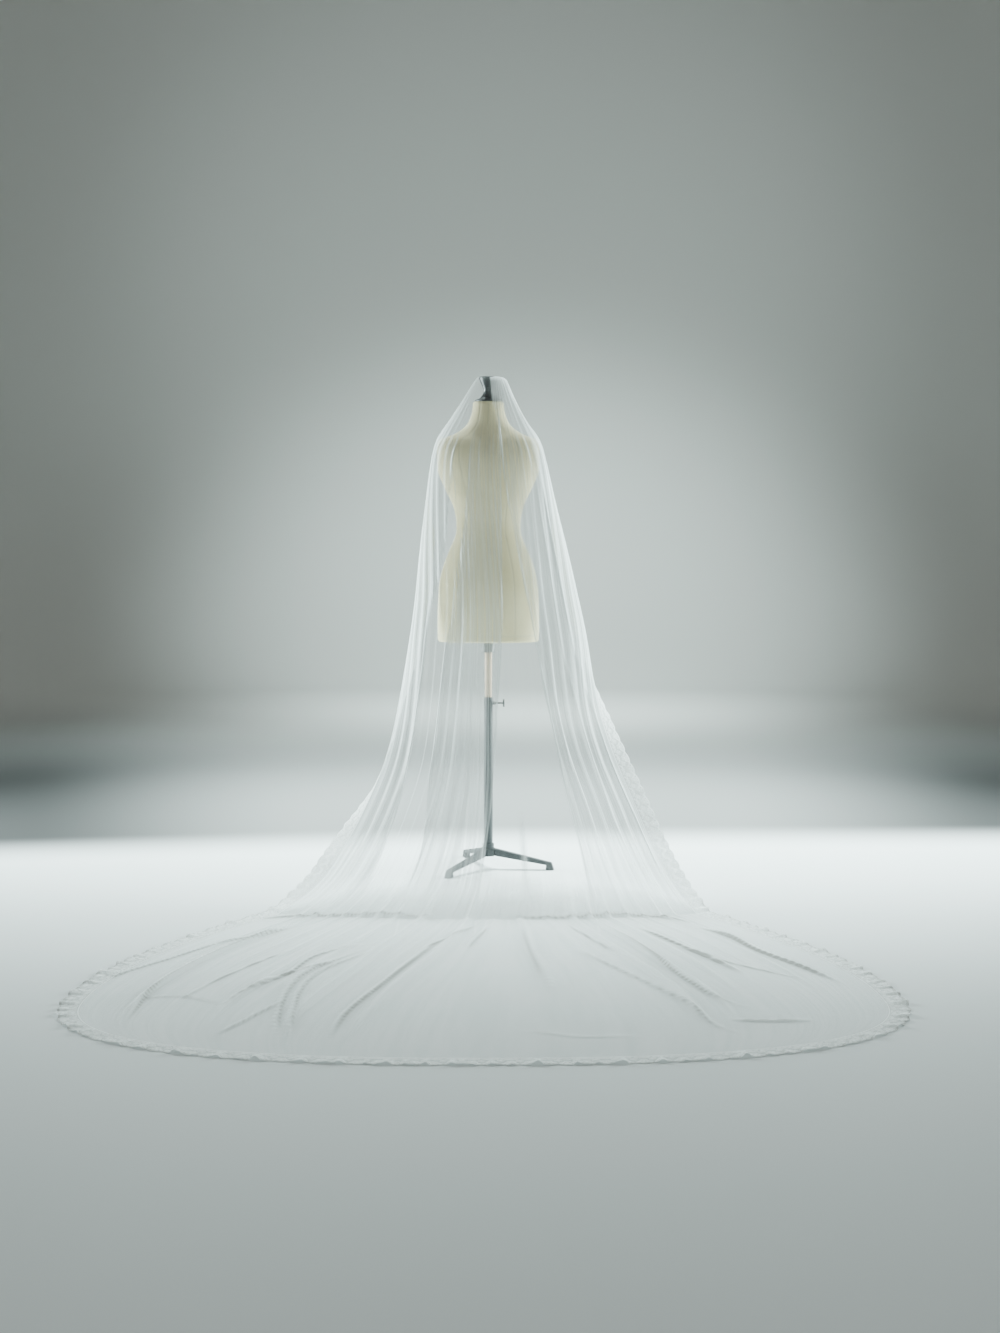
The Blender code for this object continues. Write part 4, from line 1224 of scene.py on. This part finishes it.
def build_torso():
    low, high = FORM["height"][0], FORM["height"][-1]
    height = np.linspace(low, high, FORM_ROWS)[:, None]
    turn = np.linspace(0.0, 2.0 * math.pi, FORM_COLUMNS)[None, :]
    points = torso_point(turn, height + 0.0 * turn)
    girth = np.linalg.norm(np.diff(points, axis=1), axis=-1)
    around = np.concatenate([np.zeros((FORM_ROWS, 1)), np.cumsum(girth, axis=1)], axis=1)
    normals = unit(np.cross(np.gradient(points, axis=1), np.gradient(points, axis=0)))
    seam = np.zeros(points.shape[:2])
    for place in SEAM_TURNS:
        column = int(round(place / (2.0 * math.pi) * (FORM_COLUMNS - 1)))
        at = around[:, column][:, None]
        away = np.minimum(np.abs(around - at), around[:, -1:] - np.abs(around - at))
        seam = np.maximum(seam, np.exp(-((away / SEAM_WIDTH) ** 2)))
    seam = np.maximum(seam, np.exp(-(((height - HEM_BAND) / SEAM_WIDTH) ** 2)) + 0.0 * turn)
    # The last rows turn in softly at the hem and at the neck
    turned = 0.004 * (ease(1.0 - (height - low) / 0.006) + ease(1.0 - (high - height) / 0.006))
    points = points - (SEAM_DEPTH * seam + turned)[..., None] * normals * (1, 1, 0)
    middle = points.mean(axis=1, keepdims=True)
    below = [mix(middle[0], points[0], share)[None] for share in CAP_RINGS]
    above = [mix(middle[-1], points[-1], share)[None] for share in CAP_RINGS[::-1]]
    points = np.concatenate([*below, points, *above])
    around = np.concatenate([around[:1]] * 3 + [around] + [around[-1:]] * 3)
    drop = run_length(points[:, 0])[:, None] + 0.0 * turn
    seam = np.concatenate([seam[:1] * 0] * 3 + [seam] + [seam[-1:] * 0] * 3)
    points[..., 1] += FORM_Y
    uv = np.stack([around, drop], axis=-1)
    faces = grid_faces(*drop.shape)
    made = add_piece("torso_cover", points, faces, cream_linen, uv, {"seam": seam})
    close_seams(made)
    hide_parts("form_body")
    return made


build_torso()

# %% [markdown]
# ## Turned and cast pieces
# The knob is turned, so its surface is a profile carried round the pole: the radius and the height
# are a smooth curve. The armhole plates are shallow ovals. The stand's castings keep the shape of
# their solids, and get rounded edges from a Bevel modifier on a welded copy.

# %% Pieces: knob and armhole plates
KNOB_PROFILE = table("radius height", """
    0.0000 1.6070
    0.0455 1.6070
    0.0470 1.6085
    0.0470 1.6110
    0.0440 1.6135
    0.0290 1.6210
    0.0190 1.6330
    0.0170 1.6420
    0.0178 1.6500
    0.0220 1.6620
    0.0290 1.6790
    0.0318 1.6870
    0.0316 1.6905
    0.0298 1.6930
    0.0260 1.6940
    0.0000 1.6940
""")
TURNED_SIDES = 97
PLATE_Z = 1.418
PLATE_HALF_WIDTH = 0.038
PLATE_HALF_HEIGHT = 0.030


def build_turned(name, profile, samples, finish, node):
    """A profile of radius and height, carried round the pole: x = r cos, y = r sin, z = height."""
    knots = np.stack([profile["radius"], profile["height"]], axis=-1)
    length = run_length(knots)
    at = np.sort(np.concatenate([np.linspace(0.0, length[-1], samples), length]))
    radius = np.maximum(np.interp(at, length, knots[:, 0]), 0.0)[:, None]
    height = np.interp(at, length, knots[:, 1])[:, None]
    turn = np.linspace(0.0, 2.0 * math.pi, TURNED_SIDES)[None, :]
    points = np.stack([radius * np.cos(turn), FORM_Y + radius * np.sin(turn), height + 0.0 * turn], axis=-1)
    made = add_piece(name, points, grid_faces(len(at), TURNED_SIDES), finish)
    close_seams(made)
    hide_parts(node)
    return made


def build_plate(name, side, node):
    """An oval dish: rings from its back face over a rounded rim to a slightly hollow front."""
    turn = np.linspace(0.0, 2.0 * math.pi, TURNED_SIDES)[None, :]
    size = np.array([0.0, 0.97, 1.0, 1.0, 0.97, 0.90, 0.84, 0.5, 0.0])[:, None]
    reach = np.array([0.0, 0.0, 0.0005, 0.0024, 0.0030, 0.0030, 0.0022, 0.0020, 0.0020])[:, None]
    x = side * (ARMHOLE_X + GAP + reach) + 0.0 * turn
    y = FORM_Y + PLATE_HALF_WIDTH * size * np.cos(turn)
    z = PLATE_Z + PLATE_HALF_HEIGHT * size * np.sin(turn)
    points = np.stack([x, y, z], axis=-1)
    made = add_piece(name, points, grid_faces(*points.shape[:2]), brown_plate)
    close_seams(made)
    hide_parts(node)
    return made


build_turned("neck_knob", KNOB_PROFILE, 60, black_lacquer, "finial")
for side, word in ((-1, "left"), (1, "right")):
    build_plate(f"plate_{word}", side, f"armhole_plate_{word}")


# %% Pieces: the stand
def build_cast(node, finish, rounding):
    """A welded copy of a solid whose edges are rounded by a Bevel modifier."""
    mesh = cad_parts[node].data.copy()
    work = bmesh.new()
    work.from_mesh(mesh)
    bmesh.ops.remove_doubles(work, verts=work.verts, dist=1e-6)
    bmesh.ops.dissolve_limit(work, angle_limit=math.radians(1.0), verts=work.verts, edges=work.edges)
    work.to_mesh(mesh)
    work.free()
    mesh.materials.clear()
    mesh.materials.append(finish)
    mesh.shade_smooth()
    made = bpy.data.objects.new(f"cast_{node}", mesh)
    bpy.context.scene.collection.objects.link(made)
    bevel = made.modifiers.new("rounded", "BEVEL")
    bevel.width = rounding
    bevel.segments = 3
    bevel.limit_method = "ANGLE"
    bevel.angle_limit = math.radians(30)
    bevel.harden_normals = True
    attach(made, "root")
    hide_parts(node)
    return made


CASTINGS = (("tripod_hub", 0.002), ("hub_ring", 0.001), ("leg_1", 0.0025), ("leg_2", 0.0025), ("leg_3", 0.0025),
            ("metal_tube", 0.0008))
for node, rounding in CASTINGS:
    build_cast(node, grey_paint, rounding)
for node, rounding in (("form_collar", 0.002), ("clamp_screw", 0.0006)):
    build_cast(node, grey_steel, rounding)
build_cast("wood_pole", pale_wood, 0.0006)
print("stand: castings, tube, pole and clamp screw rounded")

# %% [markdown]
# ## Studio
# A seamless paper floor runs up into a grey wall all round, as a wide bowl, so that the veil stands
# on the same soft ground from every side. Broad lights stand at both sides and above, and four round
# pools of light fall on the wall, on the floor behind the stand and on the floor round the feet.

# %% Stage and lights
FLOOR_RADIUS = 7.4
WALL_RADIUS = 9.4
WALL_TOP = 9.0


def build_bowl():
    """A turned sheet: flat to the floor's radius, then a quarter turn up, then straight up."""
    bend = np.linspace(0.0, math.pi / 2, 24)
    cove = WALL_RADIUS - FLOOR_RADIUS
    flat = np.linspace(0.0, FLOOR_RADIUS, 12)
    radius = np.concatenate([flat, FLOOR_RADIUS + cove * np.sin(bend[1:]), [WALL_RADIUS]])[:, None]
    height = np.concatenate([0.0 * flat, cove * (1.0 - np.cos(bend[1:])), [WALL_TOP]])[:, None]
    turn = np.linspace(0.0, 2.0 * math.pi, 97)[None, :]
    points = np.stack([radius * np.cos(turn), radius * np.sin(turn), height + 0.0 * turn], axis=-1)
    mesh = bpy.data.meshes.new("studio_floor")
    mesh.from_pydata(points.reshape(-1, 3).tolist(), [], grid_faces(*points.shape[:2]).tolist())
    mesh.shade_smooth()
    mesh.materials.append(build_paper())
    bowl = bpy.data.objects.new("studio_floor", mesh)
    bpy.context.scene.collection.objects.link(bowl)


def build_paper():
    """Studio paper: pale under the veil and grey up the wall, with painted shade that darkens a band behind the
    stand and the floor at the sides.
    """
    made, tree, shader = new_material("studio_paper", (0.60, 0.62, 0.62), 0.95)
    x, y, _ = split_axes(place_on_object(tree))
    # Painted shade: masks for the darkened floor out at the sides and in a band behind the stand
    beside = soft_step((x - 0.12).of("ABSOLUTE") * 7.0 / (y + 5.0), 0.8, 2.0)
    behind = soft_step((x * -1.0).of("MAXIMUM", 0.0) * 0.16 + y, 1.30, 1.85)
    away = (x * x + (y + 0.2) * (y + 0.2)).of("SQRT")
    wall = soft_step((away - 3.7) / (beside * 1.6 + 2.6), 0.0, 1.0)
    painted_shade_colour = blend(beside, (0.19, 0.19, 0.187), (0.020, 0.020, 0.0197))
    floor = blend(behind, (0.80, 0.82, 0.82), painted_shade_colour)
    feed(blend(wall, floor, (0.62, 0.62, 0.60)), shader["Base Color"])
    return made


COOL = (0.80, 1.0, 0.99)


def aim(light, place, target):
    light.location = place
    light.rotation_euler = (Vector(target) - Vector(place)).to_track_quat("-Z", "Y").to_euler()
    bpy.context.scene.collection.objects.link(light)


def add_spot(name, place, target, angle, power):
    """A soft round pool of light."""
    data = bpy.data.lights.new(name, "SPOT")
    data.spot_size, data.spot_blend, data.shadow_soft_size = math.radians(angle), 1.0, 0.6
    data.energy, data.color = power, COOL
    aim(bpy.data.objects.new(name, data), place, target)


def add_light(name, place, target, size, power, spread):
    """A rectangular soft light that points at a target."""
    data = bpy.data.lights.new(name, "AREA")
    data.shape = "RECTANGLE"
    data.size, data.size_y = size
    data.energy, data.color, data.spread = power, COOL, math.radians(spread)
    aim(bpy.data.objects.new(name, data), place, target)


build_bowl()
world = bpy.data.worlds.new("studio_air")
world.use_nodes = True
world.node_tree.nodes["Background"].inputs["Color"].default_value = (1.0, 0.97, 0.92, 1.0)
world.node_tree.nodes["Background"].inputs["Strength"].default_value = 0.235
bpy.context.scene.world = world
add_light("left_bank", (-3.3, 1.7, 1.1), (0.0, 1.0, 0.9), (1.6, 2.0), 190.0, 112)
add_light("right_bank", (3.3, 1.7, 1.1), (0.0, 1.0, 0.9), (1.6, 2.0), 190.0, 112)
add_light("top_bank", (0.0, 2.7, 3.3), (0.0, 2.6, 0.0), (3.6, 1.0), 185.0, 90)
add_light("front_fill", (0.0, -5.6, 0.6), (0.0, 1.0, 0.6), (2.4, 0.8), 5.5, 36)
add_spot("wall_glow", (0.25, 2.4, 2.6), (0.25, 9.4, -0.5), 56.0, 2700.0)
add_spot("high_glow", (0.1, 2.4, 2.6), (0.1, 9.4, 3.3), 62.0, 560.0)
add_spot("floor_glow", (0.3, 3.0, 6.6), (0.4, 2.05, 0.0), 41.0, 3950.0)
add_spot("back_glow", (0.3, 3.2, 5.0), (0.2, 5.5, 0.0), 50.0, 1550.0)
